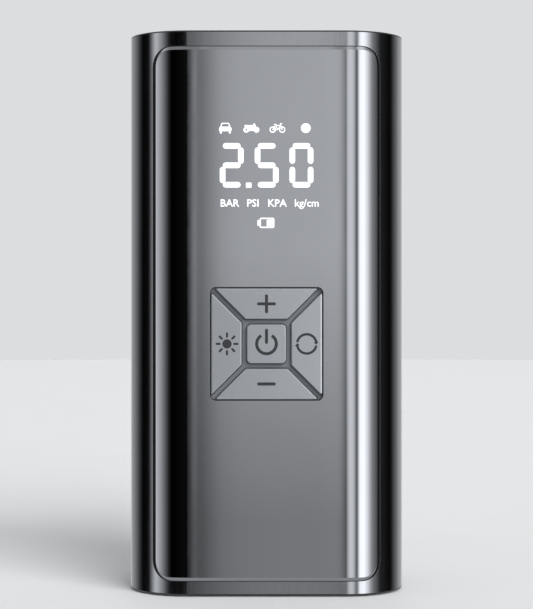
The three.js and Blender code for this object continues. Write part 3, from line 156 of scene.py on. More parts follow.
class StudioSettings(bpy.types.PropertyGroup):
    distance: length("Camera distance", "From the case's middle to the camera", 486)
    camera_height: length("Camera height", "Height of the camera above the floor", 81)
    floor: colour("Floor", "Colour of the floor", (0.83, 0.84, 0.85))
    backdrop: colour("Backdrop", "Colour behind the object", (0.715, 0.725, 0.735))


def in_mm(sizes):
    """A group's lengths by name, in millimetres."""
    return SimpleNamespace(**{name: getattr(sizes, name) / MM for name in type(sizes).__annotations__})


# ---------------- modelling


def rectangle(width, height, corner=0.0, across=0.0, up=0.0):
    """An outline that can grow: its corner points and their radii for any growth."""

    def grown(grow):
        w, h = width / 2 + grow, height / 2 + grow
        corners = [(across + x * w, up + y * h) for x, y in ((-1, -1), (1, -1), (1, 1), (-1, 1))]
        return corners, [min(corner + grow, w - HAIR, h - HAIR) if corner else 0] * 4

    return grown


def disc(radius, across=0.0, up=0.0):
    return rectangle(2 * radius, 2 * radius, radius, across, up)


def polygon(corners, *radii):
    """An outline that doesn't grow, with one radius for all corners or one for each."""
    return lambda grow: (corners, radii * len(corners) if len(radii) == 1 else radii)


def loop(bm, outline, grow=0.0, depth=0.0, steps=6):
    """The edges of a grown outline at one depth, its corners rounded in steps."""
    old = set(bm.edges)
    corners, radii = outline(grow)
    face = bm.faces.new([bm.verts.new((x, y, depth)) for x, y in corners])
    for vert, angle, radius in [(c.vert, c.calc_angle(), r) for c, r in zip(face.loops, radii)]:
        if radius > 0:
            bmesh.ops.bevel(
                bm, geom=[vert], offset=radius / math.tan(angle / 2), offset_type="OFFSET",
                segments=steps, profile=0.5, affect="VERTICES", material=-1,
            )
    edges = [e for e in bm.edges if e not in old]
    bmesh.ops.delete(bm, geom=list(edges[0].link_faces), context="FACES_ONLY")
    return edges


def bridge(bm, loops, closed=False):
    """Walls from each loop to the next, and if closed from the last back to the first."""
    for near, far in zip(loops, loops[1:] + loops[:1] if closed else loops[1:]):
        bmesh.ops.bridge_loops(bm, edges=near + far)


def rings(bm, outline, profile, steps=6):
    """Loops for each (growth, depth) of a profile, joined by walls; the first and last loop."""
    # The loops start a metre apart: bridging two loops of one plane can twist the wall.
    loops = [loop(bm, outline, grow, step, steps) for step, (grow, _) in enumerate(profile)]
    bridge(bm, loops)
    for edges, (_, depth) in zip(loops, profile):
        for vert in {vert for edge in edges for vert in edge.verts}:
            vert.co.z = depth
    return loops[0], loops[-1]


def holes(bm, outlines, profile, steps=6):
    """Openings with the same walls; all their first loops, and all their last ones."""
    return zip(*[rings(bm, outline, profile, steps) for outline in outlines])


def fill(bm, *loops):
    """A flat face inside the first loop, with the others as holes."""
    edges = [edge for one in loops for edge in one]
    bmesh.ops.triangle_fill(bm, edges=edges, use_beauty=True)


def flat(bm, outline, steps=6):
    fill(bm, loop(bm, outline, steps=steps))


def solid(bm, outline, profile, steps=6):
    """A closed shape: the walls of a profile, with a flat face at each end."""
    for end in rings(bm, outline, profile, steps):
        fill(bm, end)


def soft_edge(radius, depth=0.0, towards=1, steps=3):
    """Profile points of a rounded edge, from the flat face to the wall."""
    turns = [math.radians(90 * k / steps) for k in range(steps + 1)]
    return [(radius * (math.sin(t) - 1), depth + towards * radius * (1 - math.cos(t))) for t in turns]


def soft_mouth(radius, depth=0.0, towards=1, grow=0.0):
    """The same for an opening, which narrows to its wall."""
    return [(grow - across, at) for across, at in soft_edge(radius, depth, towards, 2)]


def verts_in(geom):
    return [item for item in geom if isinstance(item, bmesh.types.BMVert)]


def flat_regions(bm, same=math.cos(math.radians(0.3))):
    """For every face, the area of the flat region it belongs to."""
    region = {}
    for seed in bm.faces:
        if seed in region:
            continue
        members = [seed]
        region[seed] = members
        for face in members:
            for other in (o for edge in face.edges for o in edge.link_faces):
                if other not in region and other.normal.dot(seed.normal) > same:
                    region[other] = members
                    members.append(other)
    areas = {id(members): sum(face.calc_area() for face in members) for members in region.values()}
    return {face: areas[id(members)] for face, members in region.items()}


def shade(bm, sharp=math.cos(math.radians(50))):
    """Stores at every face corner a normal that keeps flats flat and edges soft."""
    layer = bm.loops.layers.float_vector.new("facing")
    bm.normal_update()
    areas = flat_regions(bm)
    for face in bm.faces:
        for corner in face.loops:
            total = Vector()
            for other in corner.vert.link_faces:
                if face.normal.dot(other.normal) > sharp:
                    total += other.normal * areas[other] ** 2
            corner[layer] = total.normalized()


def within(value, high):
    return min(max(value, 0), high)


class CaseBend:
    """Wraps a flat sheet round the case: across runs along the outer face from the front's middle."""

    def __init__(self, corner):
        self.corner = corner
        self.front = CASE_WIDTH / 2 - corner
        self.side = CASE_DEPTH - 2 * corner
        self.arc = corner * math.pi / 2
        self.around = 4 * self.front + 2 * self.side + 4 * self.arc

    def wrap(self, across, inset):
        """Place in the plan, and the turn of the surface, for a point of the sheet."""
        across = (across + self.around / 2) % self.around - self.around / 2
        sign, rest = math.copysign(1, across), abs(across)
        past_corner = rest - self.front - self.arc
        past_side = past_corner - self.side
        turned = within(rest - self.front, self.arc) + within(past_side, self.arc)
        turn = turned / self.corner
        x = min(rest, self.front) - max(past_side - self.arc, 0) + (self.corner - inset) * math.sin(turn)
        y = within(past_corner, self.side) - self.side / 2 - (self.corner - inset) * math.cos(turn)
        return sign * x, y, sign * turn

    def apply(self, bm):
        """Divides a flat sheet at the corners, and wraps its points and its stored normals."""
        starts = (self.front, self.front + self.arc + self.side)
        cuts = [start + self.arc * k / CORNER_STEPS for start in starts for k in range(CORNER_STEPS + 1)]
        for at in (at for cut in cuts for at in (cut, -cut, cut - self.around)):
            bmesh.ops.bisect_plane(
                bm, geom=bm.verts[:] + bm.edges[:] + bm.faces[:], dist=0.0001,
                plane_co=(at, 0, 0), plane_no=(1, 0, 0),
            )
        shade(bm)
        layer = bm.loops.layers.float_vector["facing"]
        for face in bm.faces:
            for corner in face.loops:
                turn = self.wrap(corner.vert.co.x, 0)[2]
                facing = corner[layer].xzy
                corner[layer] = Matrix.Rotation(turn, 3, "Z") @ facing
        for vert in bm.verts:
            x, y, _ = self.wrap(vert.co.x, vert.co.z)
            vert.co = (x, y, vert.co.y)
        bmesh.ops.reverse_faces(bm, faces=bm.faces)  # inward became +Y, which mirrors the sheet
        bmesh.ops.remove_doubles(bm, verts=bm.verts, dist=0.0005)


def add_object(bm, name, material):
    mesh = bpy.data.meshes.new(name)
    bm.to_mesh(mesh)
    bm.free()
    mesh.materials.append(material)
    added = bpy.data.objects.new(name, mesh)
    bpy.context.scene.collection.objects.link(added)
    return added


def finish_piece(bm, name, finish, replaces=(), body="case", place=TO_TOP, bend=None):
    """Turns a modelled shape into a piece of the part, in metres."""
    bm.transform(place)
    bm.normal_update()
    bmesh.ops.recalc_face_normals(bm, faces=bm.faces)
    if bend:
        bend.apply(bm)
    else:
        shade(bm)
    bm.transform(Matrix.Scale(MM, 4))
    piece = add_object(bm, name, surface(finish, **FINISHES[finish]))
    mesh = piece.data
    mesh.shade_smooth()
    mesh.normals_split_custom_set([item.vector for item in mesh.attributes["facing"].data])
    mesh.attributes.remove(mesh.attributes["facing"])
    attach(piece, body)
    if replaces:
        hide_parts(*replaces)


# ---------------- finishes


def node(tree, kind, *values, mode=None, **inputs):
    """A new node with its inputs by place or by name; an input that is a socket is linked."""
    made = tree.nodes.new(f"ShaderNode{kind}")
    if mode:
        setattr(made, "data_type" if kind == "Mix" else "operation", mode)
    named = {name.replace("_", " "): value for name, value in inputs.items()}
    for key, value in [*enumerate(values), *named.items()]:
        if isinstance(value, bpy.types.NodeSocket):
            tree.links.new(value, made.inputs[key])
        else:
            made.inputs[key].default_value = value
    return made


def ramp(tree, factor, stops):
    """A colour ramp through stops of (position, colour); its colour."""
    made = node(tree, "ValToRGB", factor)
    elements = made.color_ramp.elements
    elements.remove(elements[-1])
    for k, (position, shown) in enumerate(stops):
        stop = elements.new(position) if k else elements[0]
        stop.position = position
        stop.color = (*shown, 1)
    return made.outputs["Color"]


GRAIN_LOW, GRAIN_HIGH = 0.3, 0.7  # the part of the noise that a finish spreads over


def surface(
    name, base, roughness, grain, metallic=0.0, stretch=(1, 1, 1), tint=0.06, rough_spread=0.03, bump=0.0,
    specular=0.5, clear=0.0, glow=0.0,
):
    """A material whose colour, roughness and relief follow a fine grain fixed to the piece."""
    if name in bpy.data.materials:
        return bpy.data.materials[name]
    settings = bpy.context.scene.inflator_finish
    if isinstance(base, str):
        base = tuple(getattr(settings, base))
    material = bpy.data.materials.new(name)
    material.use_nodes = True
    material.diffuse_color = (*base, 1)
    tree = material.node_tree
    shader = tree.nodes["Principled BSDF"].inputs
    shader["Metallic"].default_value = metallic
    shader["Specular IOR Level"].default_value = specular
    shader["Transmission Weight"].default_value = clear
    if glow:
        shader["Emission Color"].default_value = (*settings.lit, 1)
        shader["Emission Strength"].default_value = glow
    place = node(tree, "TexCoord").outputs["Object"]
    mapped = node(tree, "Mapping", place, Scale=stretch).outputs["Vector"]
    noise = node(tree, "TexNoise", mapped, Scale=grain, Detail=4.0, Roughness=0.6).outputs["Fac"]
    dark, pale = [c * (1 - tint) for c in base], [min(1, c * (1 + tint)) for c in base]
    tinted = ramp(tree, noise, [(GRAIN_LOW, dark), (GRAIN_HIGH, pale)])
    tree.links.new(tinted, shader["Base Color"])
    spread = node(
        tree, "MapRange", noise, From_Min=GRAIN_LOW, From_Max=GRAIN_HIGH,
        To_Min=max(0.0, roughness - rough_spread), To_Max=min(1.0, roughness + rough_spread),
    )
    tree.links.new(spread.outputs["Result"], shader["Roughness"])
    if bump:
        relief = node(tree, "Bump", Strength=bump, Distance=0.0001, Height=noise)
        tree.links.new(relief.outputs["Normal"], shader["Normal"])
    return material


def look(base, roughness, grain, **more):
    """What sets a surface apart; its base colour is given, or named as one of the settings."""
    return dict(base=base, roughness=roughness, grain=grain, **more)


FINISHES = {
    "anodised_shell": look(
        "metal", 0.11, 1500, metallic=1.0, stretch=(1, 1, 0.06), tint=0.05, rough_spread=0.02
    ),
    "gloss_panel": look("panel", 0.03, 60, metallic=1.0, tint=0.015, rough_spread=0.01),
    "satin_key": look("key", 0.3, 2500, metallic=0.75, tint=0.02, rough_spread=0.015, bump=0.015),
    "key_frame_plastic": look("web", 0.5, 2200, bump=0.2, specular=0.25),
    "key_ink": look("legend", 0.5, 1800, tint=0.1),
    "black_rubber": look("rubber", 0.75, 2500, bump=0.5, specular=0.1),
    "moulded_cap": look((0.012, 0.012, 0.014), 0.34, 1800, tint=0.12, rough_spread=0.06, bump=0.35),
    "lit_sign": look((0.3, 0.3, 0.3), 0.4, 900, tint=0.1, glow=0.95),
    "turned_brass": look((0.68, 0.56, 0.36), 0.25, 900, metallic=1.0, stretch=(1, 1, 0.1)),
    "clear_window": look((0.92, 0.94, 0.96), 0.05, 300, tint=0.01, rough_spread=0.02, clear=1.0),
    "lamp_white": look((0.8, 0.8, 0.79), 0.3, 1200, tint=0.02, bump=0.05),
    "led_phosphor": look((0.85, 0.68, 0.18), 0.35, 2500, tint=0.1, bump=0.2),
    "socket_steel": look((0.56, 0.57, 0.58), 0.25, 900, metallic=1.0),
    "screw_zinc": look((0.35, 0.35, 0.36), 0.3, 1200, metallic=1.0),
}

# The finishes of the carried-over CAD nodes, by the record's material slot.
INNER_FINISHES = {
    "shell_metal": look((0.27, 0.28, 0.30), 0.2, 900, metallic=1.0, stretch=(1, 1, 0.1)),
    "panel_gloss": look((0.28, 0.29, 0.31), 0.06, 60, metallic=1.0),
    "cap_plastic": look((0.06, 0.062, 0.068), 0.4, 1800, bump=0.3),
    "rubber": look((0.02, 0.02, 0.021), 0.8, 2500, bump=0.5),
    "screw_steel": look((0.35, 0.35, 0.36), 0.3, 1200, metallic=1.0),
    "key_plastic": look((0.27, 0.28, 0.295), 0.42, 2500, bump=0.15),
    "web_plastic": look((0.13, 0.135, 0.14), 0.45, 2200, bump=0.2),
    "display_white": look((0.75, 0.75, 0.73), 0.5, 1500, bump=0.1),
    "board_green": look((0.02, 0.11, 0.05), 0.35, 700, tint=0.2),
    "cell_wrap": look((0.03, 0.12, 0.30), 0.35, 500, stretch=(1, 1, 0.2)),
    "holder_plastic": look((0.02, 0.02, 0.022), 0.5, 1600, bump=0.3),
    "nickel": look((0.60, 0.57, 0.50), 0.25, 800, metallic=1.0, stretch=(0.1, 1, 1)),
    "steel": look((0.56, 0.57, 0.58), 0.28, 900, metallic=1.0, stretch=(0.1, 1, 1)),
    "magnet": look((0.05, 0.05, 0.055), 0.6, 1800, bump=0.4),
    "cast_metal": look((0.42, 0.43, 0.44), 0.45, 700, metallic=1.0, bump=0.5),
    "acetal": look((0.78, 0.77, 0.72), 0.35, 1400, bump=0.1),
    "brass": look((0.72, 0.50, 0.22), 0.27, 900, metallic=1.0, stretch=(1, 1, 0.1)),
    "silicone": look((0.55, 0.56, 0.58), 0.5, 1300, bump=0.1),
    "lens": look((0.85, 0.87, 0.88), 0.12, 500),
}


# ---------------- case


def shell_ends(sizes):
    """Where the shell ends above the bottom cap's rim and below the top cap's."""
    return BOTTOM_LOW.z + sizes.rim, TOP_HIGH.z - sizes.rim


def panel_outline(sizes, bend, inside):
    """The panel's outline on the flat sheet, whose sides run on round the corners.

    The piece inside the opening reaches closer to its ends than to its sides.
    """
    half = (PANEL_HIGH.x - PANEL_LOW.x) / 2
    along = bend.front + bend.corner * math.asin((half - bend.front) / bend.corner)
    stretch = 2 * (sizes.seam - sizes.end_seam)
    return rectangle(
        2 * along, PANEL_HIGH.z - PANEL_LOW.z + stretch * inside, sizes.panel_corner, 0,
        (PANEL_HIGH.z + PANEL_LOW.z) / 2,
    )


class INFLATOR_OT_case_shell(bpy.types.Operator):
    """Models the metal shell as a flat sheet with its openings, and bends it round the case"""

    bl_idname = "inflator.case_shell"
    bl_label = "Case shell"

    def execute(self, context):
        sizes = in_mm(context.scene.inflator_case)
        bend = CaseBend(sizes.corner)
        low, high = shell_ends(sizes)
        # The sheet's ends meet in the middle of the right side, clear of the openings.
        middle = bend.front + bend.arc + bend.side / 2 - bend.around / 2
        sheet = rectangle(bend.around, high - low, 0, middle, (high + low) / 2)
        bm = bmesh.new()
        outer = loop(bm, sheet)
        inner = loop(bm, sheet, 0, sizes.wall)
        opening, ledge = rings(
            bm, panel_outline(sizes, bend, False),
            soft_mouth(0.02, grow=sizes.seam)
            + [(sizes.seam, LEDGE_FACE), (-sizes.ledge, LEDGE_FACE), (-sizes.ledge, sizes.wall)],
            PANEL_STEPS,
        )
        vents = [
            rectangle(
                sizes.vent_width, sizes.vent_height, sizes.vent_height / 2,
                -bend.around / 2, VENT_MIDDLE + k * sizes.vent_pitch,
            )
            for k in range(-3, 4)
        ]
        mouths, ends = holes(bm, vents, soft_mouth(0.25) + [(0, sizes.wall)], 5)
        fill(bm, outer, opening, *mouths)
        fill(bm, inner, ledge, *ends)
        rims = [e for e in outer + inner if e.is_valid and abs(e.verts[0].co.y - e.verts[1].co.y) < HAIR]
        for height in (low, high):
            pair = [e for e in rims if abs(e.verts[0].co.y - height) < HAIR]
            bmesh.ops.bridge_loops(bm, edges=pair)
        finish_piece(bm, "case_shell", "anodised_shell", ["main_shell"], bend=bend)
        return {"FINISHED"}


class INFLATOR_OT_gloss_panel(bpy.types.Operator):
    """Models the gloss front panel with its slanted edges, and the dark gasket round it"""

    bl_idname = "inflator.gloss_panel"
    bl_label = "Gloss panel"

    def execute(self, context):
        sizes = in_mm(context.scene.inflator_case)
        bend = CaseBend(sizes.corner)
        outline = panel_outline(sizes, bend, True)

        def sloped(share):
            """The outline on the slanted edge, which draws in the ends further than the sides."""
            corners, radii = outline(-share * sizes.panel_side)
            drawn = share * (sizes.panel_slope - sizes.panel_side)
            top = corners[2][1]
            return polygon(
                [(x, y - drawn if y == top else y + drawn) for x, y in corners],
                *[radius - drawn / 2 for radius in radii],
            )

        slope_depth = sizes.panel_slope_depth
        bm = bmesh.new()
        loops = [
            loop(bm, sloped(share), 0, depth, PANEL_STEPS)
            for share, depth in (
                (1.04, PRINT), (1.0, PRINT + 0.015), (0.96, PRINT + 0.05), (0.04, slope_depth - 0.03),
                (0.0, slope_depth + 0.02), (0.0, PANEL_BACK),
            )
        ]
        bridge(bm, loops)
        opening = rectangle(KEY_OPENING, KEY_OPENING, KEY_OPENING_CORNER, 0, KEY_HEIGHT)
        mouth, end = rings(bm, opening, soft_mouth(0.08, PRINT) + [(0, PANEL_BACK)])
        fill(bm, loops[0], mouth)
        fill(bm, loops[-1], end)
        finish_piece(bm, "gloss_panel", "gloss_panel", ["front_panel"], bend=bend)
        self.gasket(sizes, bend)
        return {"FINISHED"}

    def gasket(self, sizes, bend):
        """A dark strip that lines the seam between panel and shell."""
        inner = panel_outline(sizes, bend, True), -GASKET_LAP
        outer = panel_outline(sizes, bend, False), sizes.seam + GASKET_LAP
        bm = bmesh.new()
        section = ((inner, GASKET_FRONT), (outer, GASKET_FRONT), (outer, PANEL_BACK), (inner, PANEL_BACK))
        bridge(bm, [loop(bm, *edge, depth, PANEL_STEPS) for edge, depth in section], closed=True)
        finish_piece(bm, "panel_gasket", "black_rubber", bend=bend)


def foot_outline(foot):
    """A foot from above, with round ends."""
    low, high = box_of(foot)
    size = high - low
    return rectangle(size.x, size.y, size.y / 2, 0, (low.y + high.y) / 2)


class INFLATOR_OT_end_caps(bpy.types.Operator):
    """Models the two end caps with their skirts and openings"""

    bl_idname = "inflator.end_caps"
    bl_label = "End caps"

    def execute(self, context):
        sizes = in_mm(context.scene.inflator_case)
        shell_low, shell_high = shell_ends(sizes)
        openings = [
            disc(6.3, OUTLET_X), rectangle(16.6, 9.6, 2.3, LAMP_X), rectangle(3.9, 9.5, 1.9, SOCKET_X)
        ]
        self.cap("top", sizes, TOP_HIGH.z, shell_high, TOP_LOW.z, openings)
        screws = [disc(2.6, *middle_of(f"case_screw_{k}").xy) for k in SCREWS]
        self.cap("bottom", sizes, BOTTOM_LOW.z, shell_low, BOTTOM_HIGH.z, screws, FEET)
        return {"FINISHED"}

    def cap(self, name, sizes, face, shell_end, skirt_end, openings, feet=()):
        """A plate whose skirt reaches into the shell, with openings and with pockets for feet."""
        towards = 1 if skirt_end > face else -1
        plate = face + towards * CAP_PLATE
        bm = bmesh.new()
        outside, inside = rings(
            bm, rectangle(CASE_WIDTH, CASE_DEPTH, sizes.corner),
            soft_edge(sizes.cap_bevel, face, towards)
            + [(0, shell_end), (SKIRT, shell_end), (SKIRT, skirt_end), (SKIRT_INNER, skirt_end)]
            + [(SKIRT_INNER, plate)],
            CORNER_STEPS,
        )
        mouths, ends = holes(bm, openings, soft_mouth(0.2, face, towards) + [(0, plate)])
        pockets = []
        for foot in feet:
            depth = box_of(foot)[1].z + 0.1
            pocket, bottom = rings(bm, foot_outline(foot), [(0.15, face), (0.15, depth)], 8)
            fill(bm, bottom)
            pockets.append(pocket)
        fill(bm, outside, *mouths, *pockets)
        fill(bm, inside, *ends)
        finish_piece(bm, f"{name}_cap_cover", "moulded_cap", [f"{name}_cap"])


# ---------------- signs, drawn flat round their own middle


def heading(degrees):
    """A step of 1 mm in a direction, in degrees from the right."""
    return Vector((math.cos(math.radians(degrees)), math.sin(math.radians(degrees))))


def arc_band(bm, middle, radius, width, start=0, sweep=360, steps=24):
    """A flat band along an arc in degrees, spun from its first end."""
    rims = [Vector(middle) + heading(start) * (radius + side * width / 2) for side in (-1, 1)]
    ends = [bm.verts.new((*rim, 0)) for rim in rims]
    bmesh.ops.spin(
        bm, geom=[*ends, bm.edges.new(ends)], cent=(*middle, 0), axis=(0, 0, 1), angle=math.radians(sweep),
        steps=steps, use_merge=sweep == 360,
    )


def bar(bm, start, end, width, rounding=None, steps=4):
    """A flat bar between two points, fully rounded unless a rounding is given."""
    start, end = Vector(start), Vector(end)
    along = (end - start).normalized() * width / 2
    aside = Vector((-along.y, along.x))
    corners = [start - along - aside, end + along - aside, end + along + aside, start - along + aside]
    flat(bm, polygon(corners, width / 2 - HAIR if rounding is None else rounding), steps)


def cross(bm, middle, arm, width, rounding=0.0):
    """A flat cross, grown from a square by drawing out its four sides."""
    place = Matrix.Translation((*middle, 0))
    bmesh.ops.create_grid(bm, x_segments=1, y_segments=1, size=width / 2, matrix=place)
    square = next(iter(bm.faces))
    for edge in list(square.edges):
        outward = ((edge.verts[0].co + edge.verts[1].co) / 2 - place.translation).normalized()
        moved = verts_in(bmesh.ops.extrude_edge_only(bm, edges=[edge])["geom"])
        bmesh.ops.translate(bm, verts=moved, vec=outward * (arm - width / 2))
        if rounding:
            bmesh.ops.bevel(
                bm, geom=moved, offset=rounding, offset_type="OFFSET", segments=3, profile=0.5,
                affect="VERTICES", material=-1,
            )


def power(bm):
    arc_band(bm, (0, 0), 2.6, 0.82, 123, 294, 40)
    bar(bm, (0, 0.4), (0, 3.6), 0.8)


def sun(bm):
    flat(bm, disc(1.23), 8)
    for k in range(8):
        bar(bm, heading(45 * k) * 1.95, heading(45 * k) * 2.75, 0.58)


def two_arrows(bm):
    """Two curved arrows that follow each other round."""
    ring = 2.55
    for start in (12, 192):
        arc_band(bm, (0, 0), ring, 0.66, start, 158, 20)
        base, tip = heading(start), heading(start - 17)
        flat(bm, polygon([base * (ring - 0.72), base * (ring + 0.78), tip * ring], 0.12), 2)


def digit(bm, lit):
    """A seven-segment digit, hung from its upper edge."""
    width, height, stroke = 6.35, 11.8, 1.52
    right, high, low = (width - stroke) / 2, -stroke / 2, stroke / 2 - height
    left, mid = -right, (high + low) / 2
    ends = {
        "a": ((left, high), (right, high)), "b": ((right, high), (right, mid)),
        "c": ((right, mid), (right, low)), "d": ((left, low), (right, low)),
        "e": ((left, mid), (left, low)), "f": ((left, high), (left, mid)),
        "g": ((left, mid), (right, mid)),
    }
    for name in lit:
        start, end = (Vector(point) for point in ends[name])
        gap = 0.04 if name in "adg" else 0.38
        along = (end - start).normalized() * (stroke / 2 + gap)
        bar(bm, start + along, end - along, stroke, stroke / 2 - 0.04, 2)


def car(bm):
    """A car from the front, with its window left open."""
    roof = polygon([(-1.0, 1.4), (-1.4, 0.25), (1.4, 0.25), (1.0, 1.4)], 0.3, 0, 0, 0.3)
    window = polygon([(-0.75, 1.1), (-1.0, 0.4), (1.0, 0.4), (0.75, 1.1)], 0.1)
    fill(bm, loop(bm, roof, steps=3), loop(bm, window, steps=2))
    flat(bm, rectangle(3.3, 1.1, 0.3, 0, -0.3), 3)
    for side in (-1, 1):
        bar(bm, (side * 1.2, -0.95), (side * 1.2, -1.2), 0.5, 0.1, 2)


def motorcycle(bm):
    for side in (-1, 1):
        arc_band(bm, (side * 1.35, -0.45), 0.52, 0.5)
    bar(bm, (-1.55, 0.55), (-0.45, 0.45), 0.62)
    bar(bm, (-0.45, 0.35), (0.7, 0.45), 0.85)
    bar(bm, (1.35, -0.45), (0.75, 1.05), 0.42)
    bar(bm, (-0.5, -0.3), (0.5, -0.3), 0.9)


def bicycle(bm):
    for side in (-1, 1):
        arc_band(bm, (side * 1.25, -0.4), 0.7, 0.3)
    for start, end in (
        ((-1.25, -0.4), (-0.5, 0.65)), ((-0.5, 0.65), (0.1, -0.4)), ((-1.25, -0.4), (0.1, -0.4)),
        ((0.1, -0.4), (0.85, 0.7)), ((-0.5, 0.65), (0.85, 0.7)), ((1.25, -0.4), (0.75, 1.15)),
        ((0.75, 1.15), (1.15, 1.2)), ((-0.85, 0.95), (-0.3, 0.95)),
    ):
        bar(bm, start, end, 0.25)


def battery(bm):
    """A battery with its pole at the left and one block of charge."""
    rings(bm, rectangle(3.95, 2.75, 0.5), [(0, 0), (-0.38, 0)], 4)
    flat(bm, rectangle(1.7, 1.75, 0.15, 0.775), 2)
    flat(bm, rectangle(0.5, 1.6, 0.2, -2.275), 2)


def finish_sign(name, draw, across, up, slot, finish, body="case"):
    """Draws a flat sign, moves it to its place on the front and gives it its thickness."""
    bm = bmesh.new()
    draw(bm)
    bm.transform(Matrix.Translation((across, up, 0)))
    raised = verts_in(bmesh.ops.extrude_face_region(bm, geom=bm.faces[:])["geom"])
    bmesh.ops.translate(bm, verts=raised, vec=(0, 0, PRINT * 2))
    finish_piece(bm, name, finish, body=body, place=TO_FRONT)


# ---------------- keys and display


def outer_key(sizes, quarter):
    """Outline of one of the four outer keys, turned by quarters from the upper one."""

    def grown(grow):
        # The bevel is wider along the outside.
        outer, inner = sizes.half + grow * (1.7 if grow < 0 else 1), sizes.ring - grow
        slant = (sizes.channel / 2 - grow) * math.sqrt(2)
        corners = [
            (slant - inner, inner), (inner - slant, inner), (outer - slant, outer), (slant - outer, outer)
        ]
        for _ in range(quarter):
            corners = [(-y, x) for x, y in corners]
        radii = [sizes.rounding * 0.65 + grow] * 2 + [sizes.rounding * 0.35 + grow] * 2
        return [(x, y + KEY_HEIGHT) for x, y in corners], radii

    return grown


# A key's edge as (growth, depth): a narrow bevel round its face, and a side that slopes out.
KEY_EDGE = [(-0.24, 0.03), (-0.225, 0.036), (-0.085, 0.1), (-0.07, 0.115), (0.08, 0.5), (0.12, 0.6)]
# The sign on each key, and its place from the middle of the keys.
KEY_SIGNS = {
    "plus": (lambda bm: cross(bm, (0, 0), 2.5, 0.8, 0.35), 0, 10.6),
    "minus": (lambda bm: bar(bm, (-2.05, 0), (2.05, 0), 0.85), 0, -10.6),
    "power": (power, 0, 0),
    "light": (sun, -10.45, 0),
    "mode": (two_arrows, 10.65, 0),
}


class INFLATOR_OT_keys(bpy.types.Operator):
    """Models the five keys, their signs and the frame between them"""

    bl_idname = "inflator.keys"
    bl_label = "Keys"

    def execute(self, context):
        sizes = in_mm(context.scene.inflator_keys)
        outlines = {name: outer_key(sizes, k) for k, name in enumerate(("plus", "light", "minus", "mode"))}
        power_width = 2 * sizes.power_half
        outlines["power"] = rectangle(power_width, power_width, sizes.rounding + 0.2, 0, KEY_HEIGHT)
        for name, outline in outlines.items():
            bm = bmesh.new()
            solid(bm, outline, KEY_EDGE + [(0.12, FLANGE_FRONT), (0.6, FLANGE_FRONT), (0.6, FLANGE_BACK)])
            finish_piece(
                bm, f"{name}_key_cap", "satin_key", [f"button_{name}"], f"{name}_key", TO_FRONT
            )
        self.web(sizes, outlines.values())
        for name, (draw, across, up) in KEY_SIGNS.items():
            place = across, KEY_HEIGHT + up
            finish_sign(f"{name}_sign", draw, *place, "key_plastic", "key_ink", f"{name}_key")
        return {"FINISHED"}

    def web(self, sizes, outlines):
        """The frame between the keys, with its edge behind the panel."""
        width = 2 * sizes.half + 0.3
        bm = bmesh.new()
        front, back = rings(
            bm, rectangle(width, width, 1.4, 0, KEY_HEIGHT),
            [(0, WEB_FRONT), (0, LEDGE_FACE), (2.85, LEDGE_FACE), (2.85, WEB_BACK)],
        )
        mouths, ends = holes(bm, outlines, soft_mouth(0.06, WEB_FRONT, grow=0.25) + [(0.25, WEB_BACK)])
        fill(bm, front, *mouths)
        fill(bm, back, *ends)
        finish_piece(bm, "key_frame", "key_frame_plastic", ["key_web"], place=TO_FRONT)


DIGITS_TOP, VEHICLES, UNITS = 120.15, 124.1, 103.35  # heights of the display's rows
DISPLAY_SIGNS = (
    ("digit_2", lambda bm: digit(bm, "abged"), -9.2, DIGITS_TOP),
    ("digit_5", lambda bm: digit(bm, "afgcd"), 0.05, DIGITS_TOP),
    ("digit_0", lambda bm: digit(bm, "abcdef"), 9.25, DIGITS_TOP),
    ("decimal_point", lambda bm: flat(bm, rectangle(1.5, 1.4, 0.25), 3), -4.7, 109.0),
    ("car_sign", car, -10.9, VEHICLES),
    ("ball_sign", lambda bm: flat(bm, disc(1.3), 8), 10.4, VEHICLES),
    ("motorcycle_sign", motorcycle, -4.0, VEHICLES),
    ("bicycle_sign", bicycle, 2.9, VEHICLES),
)
UNIT_NAMES = {"BAR": -9.775, "PSI": -3.6, "KPA": 2.8, "kg/cm": 10.65}  # the middle of each name


class INFLATOR_OT_display(bpy.types.Operator):
    """Models the lit signs of the display"""

    bl_idname = "inflator.display"
    bl_label = "Display"

    def execute(self, context):
        for name, draw, across, up in DISPLAY_SIGNS:
            finish_sign(name, draw, across, up, "display_white", "lit_sign")
        for word, across in UNIT_NAMES.items():
            self.unit_name(word, across)
        finish_sign("battery_sign", battery, 0.125, 99.025, "display_white", "lit_sign")
        return {"FINISHED"}

    def unit_name(self, word, across):
        """A word in plain letters, made a mesh before it is placed."""
        name = f"unit_{word.replace('/', '_')}"
        curve = bpy.data.curves.new(name, "FONT")
        curve.body = word
        curve.align_x = "CENTER"
        curve.size = 2.75
        curve.offset = 0.045
        curve.extrude = PRINT
        curve.resolution_u = 2
        drawn = bpy.data.objects.new(name, curve)
        bpy.context.scene.collection.objects.link(drawn)
        mesh = bpy.data.meshes.new_from_object(drawn.evaluated_get(bpy.context.evaluated_depsgraph_get()))
        bpy.data.objects.remove(drawn)
        bm = bmesh.new()
        bm.from_mesh(mesh)
        bpy.data.meshes.remove(mesh)
        bpy.data.curves.remove(curve)
        bmesh.ops.remove_doubles(bm, verts=bm.verts, dist=0.001)
        bm.transform(Matrix.Translation((across, UNITS, PRINT)))
        finish_piece(bm, name, "lit_sign", place=TO_FRONT)


# ---------------- top and underside


